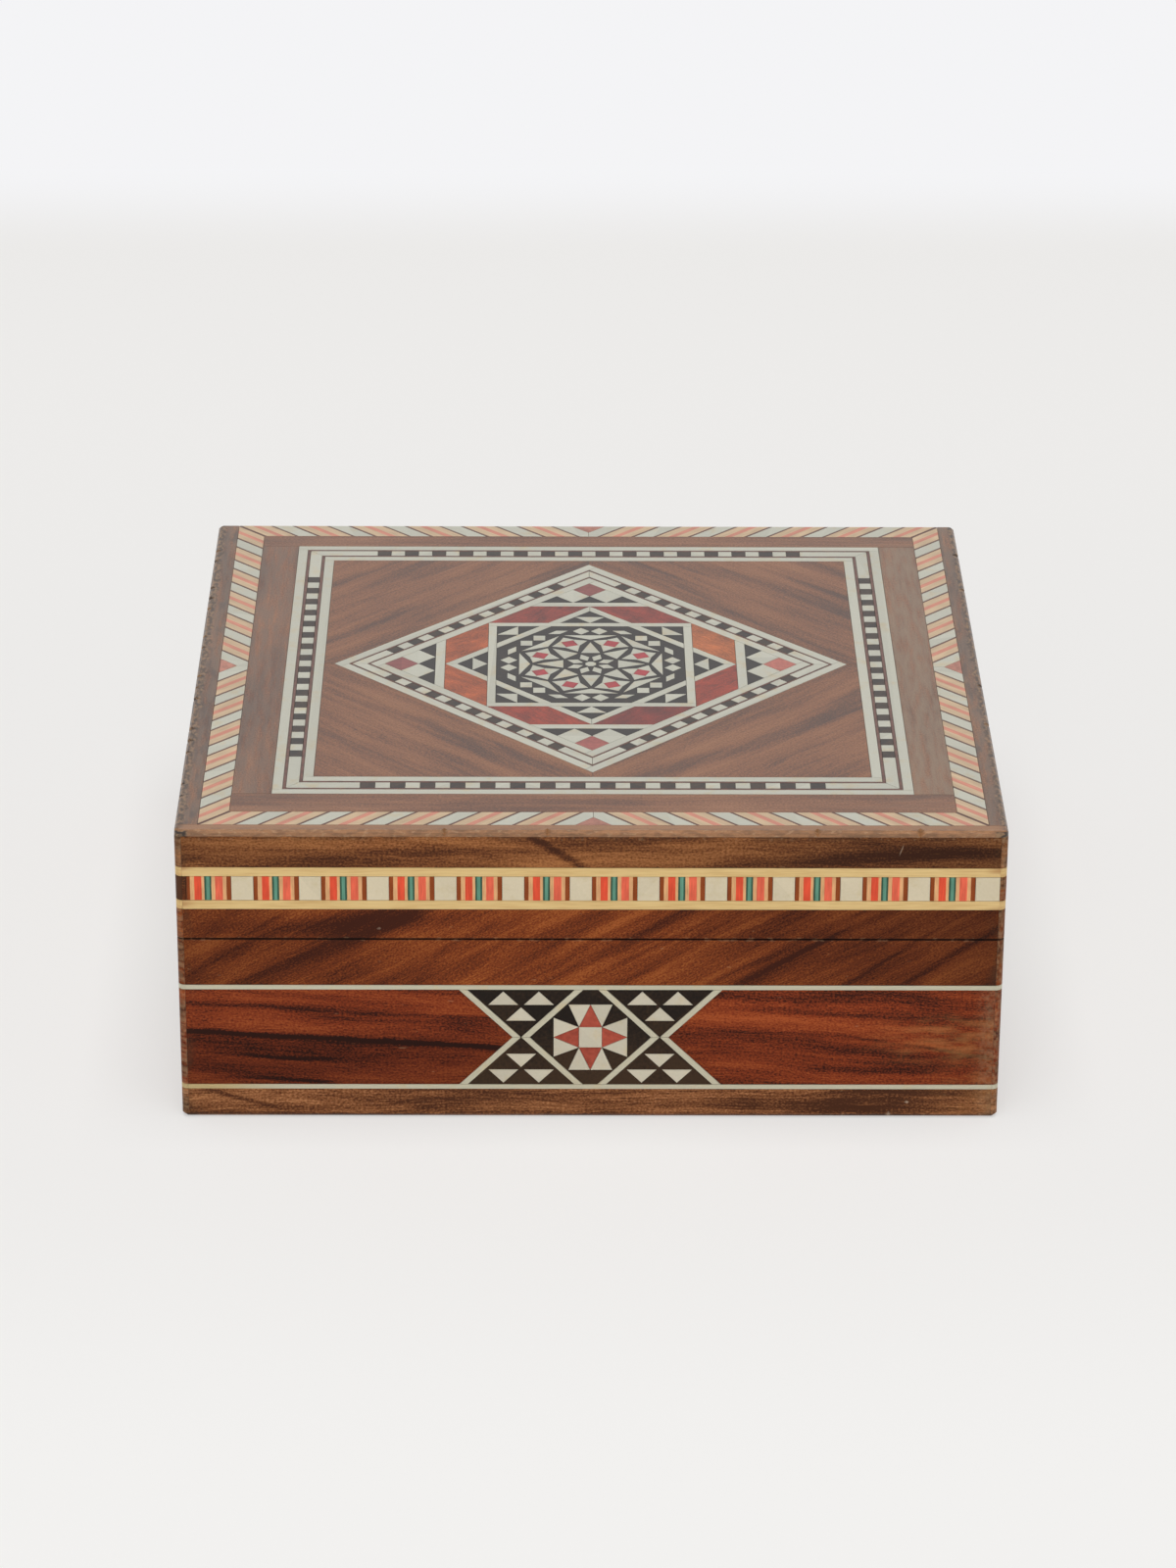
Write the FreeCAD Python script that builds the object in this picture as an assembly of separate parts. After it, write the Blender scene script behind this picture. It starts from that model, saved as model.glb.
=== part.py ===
"""Keepsake box with a hinged lid, covered in geometric marquetry.

Millimetres. The closed box stands on Z = 0 with its middle at X = Y = 0. The front faces -Y, and the
lid is hinged at the back. Every piece of wood, bone, brass and velvet is a solid of its own.
"""
import FreeCAD
import Part
import math
import os

Vector = FreeCAD.Vector

# Outside of the closed box
WIDTH = 100.0
DEPTH = 96.0
HEIGHT = 39.0
LID_HEIGHT = 14.5
SAW_GAP = 0.12

# Carcass
WALL = 5.2
BOTTOM_PANEL = 3.0
LID_PANEL = 3.0
VENEER = 0.8
GLUE_LINE = 0.05

# Edges rubbed off after veneering: the corners in a few flats, the others in one
CORNER_ROUND = 0.8
CORNER_FLATS = 2
BOTTOM_RUB = 0.5
TOP_RUB = 0.3

# Flakes broken off the edges in use: along the edge, across it, and from one to the next
FLAKE_LENGTH = 3.2
FLAKE_DEPTH = 0.95
FLAKE_PITCH_LEFT = 5.6
FLAKE_PITCH_OTHER = 19.0
FLAKE_SMALLEST_SHARE = 0.6

# Lining
LINING = 0.7
FLOOR_LINING = 1.2
LINING_DROP = 0.8

# Base sides: two lines of stringing with the field between them. The bottom strip has a share of the
# rest.
STRING = 0.65
FIELD_HEIGHT = 13.0
BOTTOM_STRIP_SHARE = 0.387

# Base motif: the slanting lines, then shares of the half height of the field and of the diamond
MOTIF_LINE = 0.75
MOTIF_DIAMOND_SHARE = 1.3
MOTIF_REACH_SHARE = 0.61
MOTIF_WIDE_SHARE = 0.365
MOTIF_CENTRE_SHARE = 0.19
MOTIF_ROWS = 3
MOTIF_TILE_SHARE = 0.86

# Lid sides, from the seam up
LOW_STRIP = 4.0
EDGING = 1.2
BAND = 3.2
BAND_BONE = 2.68
BAND_STRIPED = 5.46
BAND_LEAD = 0.45
BAND_SHORTEST = 0.6

# Lid top, from the edge inward
BORDER_LEFT = 2.75
BORDER_RIGHT = 2.25
BORDER_FRONT = 1.7
BORDER_BACK = 0.3
ROPE = 3.6
ROPE_BONE = 2.56
ROPE_PITCH = 7.37
ROPE_CORNER = 4.62
ROPE_PEAK = 1.4
INNER_BORDER = 4.35
PANEL_BACK = 0.75
FRAME_LINE = 1.27
HAIRLINE = 0.4
FRAME_CHECK = 1.57
CHECK_PITCH = 1.83
FRAME_CORNER = 7.5

# Diamond on the lid top, from its tips inward
DIAMOND_GAP = 1.3
DIAMOND_LINE = 1.3
DIAMOND_HAIRLINE = 0.3
DIAMOND_CHECK = 1.35
DIAMOND_CORNER = 5.0

# Star in the diamond
TIP_LINE = 1.25
STAR_LINE = 1.1
TIP_ROWS = 3
STAR_ROWS = 2

# Rosette in the star, as shares of the distance from its middle to the sides of the octagon
RING_RADIUS_SHARE = 0.868
RING_TILE_SHARE = 0.091
RING_SPACING_SHARE = 0.097
CORNER_RADIUS_SHARE = 0.905
CORNER_TILE_SHARE = 0.13
LENS_BASE_SHARE = 0.76
LENS_HALF_SHARE = 0.293
LENS_APEX_SHARE = 0.64
KITE_RADIUS_SHARE = 0.579
KITE_SQUARE_SHARE = 0.068
KITE_WAIST_SHARE = 0.084
KITE_OUTER_SHARE = 0.756
KITE_INNER_SHARE = 0.351
KITE_SIDE_SHARE = 0.208
PETAL_BASE_SHARE = 0.289
PETAL_HALF_SHARE = 0.103
PETAL_APEX_SHARE = 0.578
HEART_OUTER_SHARE = 0.27
HEART_WAIST_SHARE = 0.17
HEART_HALF_SHARE = 0.056
HEART_INNER_SHARE = 0.085
HEART_CORE_SHARE = 0.062

# Brass hinges
HINGE_FROM_END = 24.0
HINGE_LENGTH = 16.0
HINGE_INSET = 1.3
KNUCKLE_RADIUS = 1.2
KNUCKLE_GAP = 0.15
MIDDLE_KNUCKLE = 6.0
LEAF_REACH = 4.0
LEAF_THICKNESS = 0.6
PIN_RADIUS = 0.5
PIN_FIT = 0.04
BARREL_ROOM = 0.25
LEAF_ROOM = 0.1
OPENING_ANGLE = 102.0
STOP_ANGLE = 1.0

# Levels and faces that follow from the sizes above
SEAM = HEIGHT - LID_HEIGHT
BASE_TOP = SEAM - SAW_GAP / 2
LID_FOOT = SEAM + SAW_GAP / 2
CORE_X = WIDTH / 2 - VENEER
CORE_Y = DEPTH / 2 - VENEER
CORE_TOP = HEIGHT - VENEER
ROOM_X = CORE_X - WALL
ROOM_Y = CORE_Y - WALL
LINED_X = ROOM_X - LINING
LINED_Y = ROOM_Y - LINING
CEILING = CORE_TOP - LID_PANEL
AXIS_Y = DEPTH / 2 - HINGE_INSET
HINGE_X = WIDTH / 2 - HINGE_FROM_END
ROOT_TWO = math.sqrt(2)
QUARTER_ANGLE = 90.0
EIGHTH_ANGLE = 45.0
GOLDEN = (math.sqrt(5) - 1) / 2
EDGE_ZONE = max(CORNER_ROUND, BOTTOM_RUB, TOP_RUB, FLAKE_DEPTH)

nodes = {}


# Flat outlines: lists of (u, v) points


def direction(degrees):
    angle = math.radians(degrees)
    return math.cos(angle), math.sin(angle)


def rectangle(left, low, right, high):
    return [(left, low), (right, low), (right, high), (left, high)]


def turned(outline, degrees):
    across, along = direction(degrees)
    return [(u * across - v * along, u * along + v * across) for u, v in outline]


def mirrored(outline):
    return [(-u, v) for u, v in reversed(outline)]


def cut(outline, degrees, reach):
    """What a straight knife cut leaves of a convex outline.

    The cut lies square to a direction, at a distance from the middle, and the near side stays.
    """
    across, along = direction(degrees)
    kept = []
    last = outline[-1]
    last_past = last[0] * across + last[1] * along - reach
    for point in outline:
        past = point[0] * across + point[1] * along - reach
        if past * last_past < 0:
            share = last_past / (last_past - past)
            kept.append((last[0] + share * (point[0] - last[0]), last[1] + share * (point[1] - last[1])))
        if past <= 0:
            kept.append(point)
        last = point
        last_past = past
    return kept


def eased(outline):
    """A convex outline drawn in by half a glue line on every edge."""
    area = sum(a[0] * b[1] - b[0] * a[1] for a, b in zip(outline, outline[1:] + outline[:1]))
    corners = outline if area > 0 else outline[::-1]
    smaller = corners
    for here, there in zip(corners, corners[1:] + corners[:1]):
        outward = math.degrees(math.atan2(here[0] - there[0], there[1] - here[1]))
        across, along = direction(outward)
        smaller = cut(smaller, outward, here[0] * across + here[1] * along - GLUE_LINE / 2)
    return smaller


def shrunk(outline, share):
    """An outline drawn in towards its middle."""
    middle = [sum(place) / len(outline) for place in zip(*outline)]
    return [tuple(m + share * (p - m) for p, m in zip(point, middle)) for point in outline]


def split(apex, left, right, rows):
    """A triangle cut into rows of small ones: those like it, and those the other way up."""
    def at(row, place):
        down = row / rows
        sideways = place / rows
        return tuple(a + down * (b - a) + sideways * (c - b) for a, b, c in zip(apex, left, right))

    alike = []
    opposite = []
    for row in range(rows):
        for place in range(row + 1):
            alike.append([at(row, place), at(row + 1, place), at(row + 1, place + 1)])
        for place in range(row):
            opposite.append([at(row, place), at(row + 1, place + 1), at(row, place + 1)])
    return alike, opposite


# Solids


def block(x_low, x_high, y_low, y_high, z_low, z_high):
    return Part.makeBox(x_high - x_low, y_high - y_low, z_high - z_low, Vector(x_low, y_low, z_low))


def plan_prism(outline, z_low, z_high):
    corners = [Vector(x, y, z_low) for x, y in outline]
    return Part.Face(Part.makePolygon(corners + corners[:1])).extrude(Vector(0, 0, z_high - z_low))


def rod(x_low, x_high, radius):
    """A cylinder along the hinge axis."""
    return Part.makeCylinder(radius, x_high - x_low, Vector(x_low, AXIS_Y, SEAM), Vector(1, 0, 0))


def one_solid(shape):
    if len(shape.Solids) != 1:
        raise ValueError("a piece came apart")
    return shape.Solids[0]


def add(node, solid):
    nodes.setdefault(node, []).append(one_solid(solid))


def flake(edge, along, inward, down, share):
    """A chip off a sharp edge, as the wedge that it leaves out."""
    reach = along * (share * FLAKE_LENGTH / 2)
    depth = share * FLAKE_DEPTH
    outside = edge - (inward + down) * (depth / 2)
    corners = [outside - reach, outside + reach, edge + inward * depth, edge + down * depth]
    sides = [corners[:place] + corners[place + 1:] for place in range(4)]
    shell = Part.Shell([Part.Face(Part.makePolygon(side + side[:1])) for side in sides])
    wedge = Part.Solid(shell)
    return wedge if wedge.Volume > 0 else wedge.reversed()


def flakes_along(start, end, inward, down, pitch):
    """Chips of several sizes, unevenly spaced along one edge."""
    along = end - start
    count = int(along.Length / pitch)
    wedges = []
    for index in range(count):
        chance = index * GOLDEN % 1
        place = start + along * ((index + chance) / count)
        share = FLAKE_SMALLEST_SHARE + (1 - FLAKE_SMALLEST_SHARE) * (index * index * GOLDEN % 1)
        wedges.append(flake(place, along / along.Length, inward, down, share))
    return wedges


def flakes():
    """Where the veneer has chipped: the left of the lid most, then its front and right and two corners."""
    right = Vector(1, 0, 0)
    back = Vector(0, 1, 0)
    down = Vector(0, 0, -1)
    back_left = Vector(-WIDTH / 2, DEPTH / 2, HEIGHT)
    front_left = Vector(-WIDTH / 2, -DEPTH / 2, HEIGHT)
    front_right = Vector(WIDTH / 2, -DEPTH / 2, HEIGHT)
    back_right = Vector(WIDTH / 2, DEPTH / 2, HEIGHT)
    wedges = flakes_along(back_left, front_left, right, down, FLAKE_PITCH_LEFT)
    wedges += flakes_along(front_left, front_right, back, down, FLAKE_PITCH_OTHER)
    wedges += flakes_along(front_right, back_right, right * -1, down, FLAKE_PITCH_OTHER)
    for corner, inward in ((front_left, right), (front_right, right * -1)):
        wedges += flakes_along(corner, corner + down * HEIGHT, inward, back, FLAKE_PITCH_OTHER)
    return wedges


def rubbed_outside():
    """The closed box as the sandpaper and years of use left it."""
    plan = rectangle(-WIDTH / 2, -DEPTH / 2, WIDTH / 2, DEPTH / 2)
    flat = QUARTER_ANGLE / (CORNER_FLATS + 1)
    for quarter in range(4):
        for step in range(1, CORNER_FLATS + 1):
            knife = QUARTER_ANGLE * quarter + flat * step
            across, along = direction(knife)
            middle = abs(across) * (WIDTH / 2 - CORNER_ROUND) + abs(along) * (DEPTH / 2 - CORNER_ROUND)
            plan = cut(plan, knife, middle + CORNER_ROUND)
    box = plan_prism(plan, 0, HEIGHT)
    box = box.makeChamfer(BOTTOM_RUB, [edge for edge in box.Edges if edge.BoundBox.ZMax < HEIGHT / 2])
    box = box.makeChamfer(TOP_RUB, [edge for edge in box.Edges if edge.BoundBox.ZMin > HEIGHT / 2])
    return box.cut(flakes())


def hinge_hollows():
    """What the hinges take out of the two halves: the bevels that stop the lid, and the recesses."""
    lean = math.tan(math.radians(OPENING_ANGLE / 2 + STOP_ANGLE))
    back = HINGE_INSET + VENEER
    profile = [Vector(-WIDTH, AXIS_Y, SEAM), Vector(-WIDTH, AXIS_Y + back, SEAM + back * lean)]
    profile.append(Vector(-WIDTH, AXIS_Y + back, SEAM - back * lean))
    hollow = Part.Face(Part.makePolygon(profile + profile[:1])).extrude(Vector(2 * WIDTH, 0, 0))
    recesses = []
    deep = SAW_GAP / 2 + LEAF_THICKNESS + LEAF_ROOM
    for hinge in (-1, 1):
        low = hinge * HINGE_X - HINGE_LENGTH / 2 - LEAF_ROOM
        high = hinge * HINGE_X + HINGE_LENGTH / 2 + LEAF_ROOM
        front = AXIS_Y - LEAF_REACH - LEAF_ROOM
        recesses.append(block(low, high, front, AXIS_Y, SEAM - deep, SEAM + deep))
        recesses.append(rod(low, high, KNUCKLE_RADIUS + BARREL_ROOM))
    return hollow.multiFuse(recesses)


OUTSIDE = rubbed_outside()
HINGE_HOLLOWS = hinge_hollows()


def finished(solid):
    """A piece of the shell, rubbed at the outside edges and cut away for the hinges."""
    box = solid.BoundBox
    at_edge = [max(-box.XMin, box.XMax) > WIDTH / 2 - EDGE_ZONE]
    at_edge.append(max(-box.YMin, box.YMax) > DEPTH / 2 - EDGE_ZONE)
    at_edge.append(box.ZMin < EDGE_ZONE or box.ZMax > HEIGHT - EDGE_ZONE)
    if sum(at_edge) > 1:
        solid = solid.common(OUTSIDE)
    if HINGE_HOLLOWS.BoundBox.intersect(solid.BoundBox):
        solid = solid.cut(HINGE_HOLLOWS)
    return solid


class Face:
    """A face of the carcass with a flat layout: u to the right and v up, seen from outside."""

    def __init__(self, middle, right, up, half):
        self.middle = middle
        self.right = right
        self.up = up
        self.out = right.cross(up)
        self.half = half

    def place(self, point):
        return self.middle + self.right * point[0] + self.up * point[1]

    def wire(self, outline):
        corners = [self.place(point) for point in outline]
        return Part.makePolygon(corners + corners[:1])

    def lay(self, node, outline):
        """Glue one piece of veneer on."""
        flat = Part.Face(self.wire(eased(outline)))
        add(node, finished(flat.extrude(self.out * VENEER)))

    def lay_ground(self, node, outline, openings):
        """Glue on one piece with openings for others."""
        flat = Part.Face([self.wire(eased(outline))] + [self.wire(opening) for opening in openings])
        add(node, flat.extrude(self.out * VENEER))


UP = Vector(0, 0, 1)
SIDES = {
    "front": Face(Vector(0, -CORE_Y, 0), Vector(1, 0, 0), UP, CORE_X),
    "back": Face(Vector(0, CORE_Y, 0), Vector(-1, 0, 0), UP, CORE_X),
    "left": Face(Vector(-CORE_X, 0, 0), Vector(0, -1, 0), UP, DEPTH / 2),
    "right": Face(Vector(CORE_X, 0, 0), Vector(0, 1, 0), UP, DEPTH / 2),
}


# Carcass


def mitred_wall(name):
    """The plan of one wall."""
    along, across = (CORE_X, CORE_Y) if name in ("front", "back") else (CORE_Y, CORE_X)
    outline = [(-along, -across), (along, -across)]
    outline += [(along - WALL, WALL - across), (WALL - along, WALL - across)]
    return turned(outline, {"front": 0, "right": 90, "back": 180, "left": 270}[name])


def build_carcass():
    add("base_bottom_panel", block(-CORE_X, CORE_X, -CORE_Y, CORE_Y, 0, BOTTOM_PANEL))
    add("lid_top_panel", block(-CORE_X, CORE_X, -CORE_Y, CORE_Y, CEILING, CORE_TOP))
    for name in SIDES:
        plan = eased(mitred_wall(name))
        add("base_" + name + "_wall", finished(plan_prism(plan, BOTTOM_PANEL, BASE_TOP)))
        add("lid_" + name + "_wall", finished(plan_prism(plan, LID_FOOT, CEILING)))


def ribbon(z_low, z_high):
    """Velvet round the inside of the walls, in one strip."""
    outer = block(-ROOM_X, ROOM_X, -ROOM_Y, ROOM_Y, z_low, z_high)
    return outer.cut(block(-LINED_X, LINED_X, -LINED_Y, LINED_Y, z_low, z_high))


def build_lining():
    add("base_wall_lining", ribbon(BOTTOM_PANEL, BASE_TOP - LINING_DROP))
    floor_top = BOTTOM_PANEL + FLOOR_LINING
    add("base_floor_lining", block(-LINED_X, LINED_X, -LINED_Y, LINED_Y, BOTTOM_PANEL, floor_top))
    add("lid_wall_lining", ribbon(LID_FOOT + LINING_DROP, CEILING))
    ceiling_low = CEILING - FLOOR_LINING
    add("lid_ceiling_lining", block(-LINED_X, LINED_X, -LINED_Y, LINED_Y, ceiling_low, CEILING))


# Hinges


def leaf(middle, side):
    """One brass leaf: the base leaf has the two end knuckles and the lid leaf the middle one."""
    level = SEAM + side * SAW_GAP / 2
    low, high = sorted((level, level + side * LEAF_THICKNESS))
    half = HINGE_LENGTH / 2
    behind = AXIS_Y - KNUCKLE_RADIUS - BARREL_ROOM
    brass = block(middle - half, middle + half, AXIS_Y - LEAF_REACH, behind, low, high)
    if side < 0:
        inner = MIDDLE_KNUCKLE / 2 + KNUCKLE_GAP
        spans = [(middle - half, middle - inner), (middle + inner, middle + half)]
    else:
        spans = [(middle - MIDDLE_KNUCKLE / 2, middle + MIDDLE_KNUCKLE / 2)]
    for start, end in spans:
        brass = brass.fuse(block(start, end, behind, AXIS_Y, low, high))
        brass = brass.fuse(rod(start, end, KNUCKLE_RADIUS))
    brass = brass.cut(rod(middle - half, middle + half, PIN_RADIUS + PIN_FIT))
    return brass.removeSplitter()


def build_hinges():
    for name, hinge in (("left", -1), ("right", 1)):
        middle = hinge * HINGE_X
        half = HINGE_LENGTH / 2
        add("hinge_" + name + "_base_leaf", leaf(middle, -1))
        add("hinge_" + name + "_lid_leaf", leaf(middle, 1))
        add("hinge_" + name + "_pin", rod(middle - half, middle + half, PIN_RADIUS))


# Base sides


def build_motif(face, middle, half):
    """The inlaid diamond, its star and the checked triangles beside it; half is half the field height."""
    def raised(outline):
        return [(u, v + middle) for u, v in outline]

    def lay(node, outline):
        face.lay(node, raised(outline))

    tip = MOTIF_DIAMOND_SHARE * half
    slant = MOTIF_LINE * ROOT_TWO
    inside = tip - slant
    reach = MOTIF_REACH_SHARE * inside
    wide = MOTIF_WIDE_SHARE * inside
    centre = MOTIF_CENTRE_SHARE * inside

    line = [(tip, 0), (tip - half, half), (inside - half, half), (inside, 0)]
    outer_line = [(tip, 0), (tip + slant, 0), (tip + slant + half, half), (tip + half, half)]
    ground = [(tip, 0), (tip - half, half), (tip + half, half)]
    tiles = [shrunk(triangle, MOTIF_TILE_SHARE) for triangle in split(*ground, MOTIF_ROWS)[1]]
    for upright in (1, -1):
        for sideways in (1, -1):
            def flipped(outline):
                return [(u * sideways, v * upright) for u, v in outline]

            lay("base_motif_lines", flipped(line))
            lay("base_motif_lines", flipped(outer_line))
            for tile in tiles:
                lay("base_motif_bone", flipped(tile))
            openings = [raised(flipped(tile)) for tile in tiles]
            face.lay_ground("base_motif_black", raised(flipped(ground)), openings)

    lay("base_motif_bone", rectangle(-centre, -centre, centre, centre))
    for quarter in range(4):
        spin = QUARTER_ANGLE * quarter
        lay("base_motif_red", turned([(-centre, centre), (centre, centre), (0, reach)], spin))
        lay("base_motif_bone", turned([(centre, centre), (wide, reach), (0, reach)], spin))
        lay("base_motif_bone", turned([(-centre, centre), (0, reach), (-wide, reach)], spin))
        corner = [(centre, centre), (reach, wide), (reach, reach), (wide, reach)]
        lay("base_motif_black", turned(cut(corner, EIGHTH_ANGLE, inside / ROOT_TWO), spin))
    beyond = rectangle(-inside, reach, inside, half)
    for knife in (EIGHTH_ANGLE, 3 * EIGHTH_ANGLE):
        beyond = cut(beyond, knife, inside / ROOT_TWO)
    beside = [(reach, reach - inside), (inside, 0), (reach, inside - reach)]
    for spin in (0, 180):
        lay("base_motif_black", turned(beyond, spin))
        lay("base_motif_black", turned(beside, spin))


def build_base_sides():
    bottom_strip = BOTTOM_STRIP_SHARE * (SEAM - FIELD_HEIGHT - 2 * STRING)
    half = FIELD_HEIGHT / 2
    field_low = bottom_strip + STRING
    middle = field_low + half
    field_high = middle + half
    point = MOTIF_DIAMOND_SHARE * half + MOTIF_LINE * ROOT_TWO
    for name, face in SIDES.items():
        walnut = "base_" + name + "_veneer"
        end = face.half
        face.lay(walnut, rectangle(-end, 0, end, bottom_strip))
        face.lay("base_stringing", rectangle(-end, bottom_strip, end, field_low))
        face.lay("base_stringing", rectangle(-end, field_high, end, field_high + STRING))
        face.lay(walnut, rectangle(-end, field_high + STRING, end, BASE_TOP))
        if name == "back":
            face.lay(walnut, rectangle(-end, field_low, end, field_high))
            continue
        piece = [(-end, field_low), (-point - half, field_low), (-point, middle)]
        piece += [(-point - half, field_high), (-end, field_high)]
        face.lay(walnut, piece)
        face.lay(walnut, mirrored(piece))
        build_motif(face, middle, half)


# Lid sides


def build_band(face, low, high):
    """Striped and bone blocks in turn, from a walnut end piece to the right-hand end."""
    start = -face.half + BAND_LEAD
    striped = True
    while start < face.half:
        end = start + (BAND_STRIPED if striped else BAND_BONE)
        if face.half - end < BAND_SHORTEST:
            end = face.half
        kind = "striped" if striped else "bone"
        face.lay("lid_band_" + kind + "_blocks", rectangle(start, low, end, high))
        start = end
        striped = not striped


def build_lid_sides():
    edging_low = SEAM + LOW_STRIP
    band_low = edging_low + EDGING
    band_high = band_low + BAND
    edging_high = band_high + EDGING
    for name, face in SIDES.items():
        walnut = "lid_" + name + "_veneer"
        end = face.half
        face.lay(walnut, rectangle(-end, LID_FOOT, end, edging_low))
        face.lay("lid_band_edging", rectangle(-end, edging_low, end, band_low))
        face.lay(walnut, rectangle(-end, band_low, BAND_LEAD - end, band_high))
        build_band(face, band_low, band_high)
        face.lay("lid_band_edging", rectangle(-end, band_high, end, edging_high))
        face.lay(walnut, rectangle(-end, edging_high, end, CORE_TOP))


# Lid top


ROPE_X = (WIDTH - BORDER_LEFT - BORDER_RIGHT) / 2
ROPE_Y = (DEPTH - BORDER_FRONT - BORDER_BACK) / 2
LAID_X = ROPE_X - ROPE
LAID_Y = ROPE_Y - ROPE
FRAME_HALF = min(LAID_X, LAID_Y) - INNER_BORDER
FIELD_HALF = FRAME_HALF - 2 * FRAME_LINE - 2 * HAIRLINE - FRAME_CHECK
DIAMOND_TIP = FIELD_HALF - DIAMOND_GAP
STAR_TIP = DIAMOND_TIP - ROOT_TWO * (2 * DIAMOND_LINE + 2 * DIAMOND_HAIRLINE + DIAMOND_CHECK)
TOP_MIDDLE = Vector((BORDER_LEFT - BORDER_RIGHT) / 2, (BORDER_FRONT - BORDER_BACK) / 2, CORE_TOP)
TOP = Face(TOP_MIDDLE, Vector(1, 0, 0), Vector(0, 1, 0), ROPE_X)
PANEL = Face(TOP_MIDDLE + Vector(0, PANEL_BACK, 0), Vector(1, 0, 0), Vector(0, 1, 0), FRAME_HALF)


def build_borders():
    left = -ROPE_X - BORDER_LEFT
    right = ROPE_X + BORDER_RIGHT
    back = ROPE_Y + BORDER_BACK
    TOP.lay("lid_border", rectangle(left, -ROPE_Y - BORDER_FRONT, right, -ROPE_Y))
    TOP.lay("lid_border", rectangle(-ROPE_X, ROPE_Y, ROPE_X, back))
    TOP.lay("lid_border", rectangle(left, -ROPE_Y, -ROPE_X, back))
    TOP.lay("lid_border", rectangle(ROPE_X, -ROPE_Y, right, back))
    low = PANEL_BACK - FRAME_HALF
    high = PANEL_BACK + FRAME_HALF
    TOP.lay("lid_inner_border", rectangle(-LAID_X, -LAID_Y, LAID_X, low))
    TOP.lay("lid_inner_border", rectangle(-LAID_X, high, LAID_X, LAID_Y))
    TOP.lay("lid_inner_border", rectangle(-LAID_X, low, -FRAME_HALF, high))
    TOP.lay("lid_inner_border", rectangle(FRAME_HALF, low, LAID_X, high))


def build_rope(spin, inner, half):
    """One side of the slanted band. Slips run parallel to the corner mitres and meet in the middle."""
    room = half + ROPE_PEAK - ROPE_CORNER - ROPE_BONE
    steps = max(1, round(room / ROPE_PITCH))
    slips = [("striped", 0, ROPE_CORNER)]
    for step in range(steps + 1):
        start = ROPE_CORNER + step * room / steps
        slips.append(("bone", start, start + ROPE_BONE))
        if step < steps:
            slips.append(("striped", start + ROPE_BONE, start + room / steps))
    for kind, near, far in slips:
        slip = [(half - near, 0), (half + ROPE - near, ROPE), (half + ROPE - far, ROPE), (half - far, 0)]
        slip = [(u, -inner - v) for u, v in cut(slip, 180, 0)]
        TOP.lay("lid_rope_" + kind + "_slips", turned(slip, spin))
        TOP.lay("lid_rope_" + kind + "_slips", turned(mirrored(slip), spin))
    wide = ROPE - ROPE_PEAK
    triangle = [(-wide, -inner - ROPE), (wide, -inner - ROPE), (0, -inner - ROPE_PEAK)]
    TOP.lay("lid_rope_triangles", turned(triangle, spin))


def build_ring(node, outer, width, spin):
    """A square of four bars: two run through and two fit between them."""
    inner = outer - width
    for quarter in range(4):
        length = outer if quarter % 2 else inner
        PANEL.lay(node, turned(rectangle(inner, -length, outer, length), spin + QUARTER_ANGLE * quarter))


def build_checks(outer, width, corner, spin):
    """A square of black and bone checks, with mitred bone bars at the corners."""
    inner = outer - width
    count = max(1, int((outer + inner - 2 * corner) / CHECK_PITCH))
    count -= 1 - count % 2
    run = count * CHECK_PITCH / 2
    bar = [(inner, run), (outer, run), (outer, outer), (inner, inner)]
    for quarter in range(4):
        way = spin + QUARTER_ANGLE * quarter
        for index in range(count):
            low = index * CHECK_PITCH - run
            node = "lid_checks_bone" if index % 2 else "lid_checks_black"
            PANEL.lay(node, turned(rectangle(inner, low, outer, low + CHECK_PITCH), way))
        PANEL.lay("lid_checks_bone", turned(bar, way))
        PANEL.lay("lid_checks_bone", turned([(u, -v) for u, v in bar], way))


def build_line_frame(node, outer, line, hairline, check, corner, spin):
    """White line, hairline, checks, hairline and white line, from outside in."""
    build_ring(node, outer, line, spin)
    outer -= line
    build_ring("lid_hairlines", outer, hairline, spin)
    outer -= hairline
    build_checks(outer, check, corner, spin)
    outer -= check
    build_ring("lid_hairlines", outer, hairline, spin)
    outer -= hairline
    build_ring(node, outer, line, spin)


def build_field():
    corner = [(DIAMOND_TIP, 0), (FIELD_HALF, 0), (FIELD_HALF, FIELD_HALF)]
    corner += [(0, FIELD_HALF), (0, DIAMOND_TIP)]
    for quarter in range(4):
        PANEL.lay("lid_field_veneer", turned(corner, QUARTER_ANGLE * quarter))


def build_star_arms(outer):
    """The four tips of the diamond, and the lozenges between them and the star."""
    point = outer * ROOT_TWO
    line = point + TIP_LINE
    cell = (STAR_TIP - line) / TIP_ROWS
    for quarter in range(4):
        spin = QUARTER_ANGLE * quarter
        bar = [(point, point - STAR_TIP), (line, line - STAR_TIP)]
        bar += [(line, STAR_TIP - line), (point, STAR_TIP - point)]
        PANEL.lay("lid_star_lines", turned(bar, spin))
        tile = [(cell, 0), (0, cell), (-cell, 0), (0, -cell)]
        PANEL.lay("lid_star_red", turned([(u + STAR_TIP - cell, v) for u, v in tile], spin))
        for side in (-1, 1):
            white = [(u + STAR_TIP - 2 * cell, v + side * cell) for u, v in tile]
            PANEL.lay("lid_star_bone", turned(white, spin))
            lozenge = [(point, 0), (point, STAR_TIP - point)]
            lozenge += [(outer, STAR_TIP - outer), (outer, point - outer)]
            PANEL.lay("lid_star_lozenges", turned([(u, v * side) for u, v in lozenge], spin))
        for row in range(TIP_ROWS):
            low = (2 * row - TIP_ROWS) * cell
            black = [(line, low), (line + cell, low + cell), (line, low + 2 * cell)]
            PANEL.lay("lid_star_black", turned(black, spin))


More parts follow.
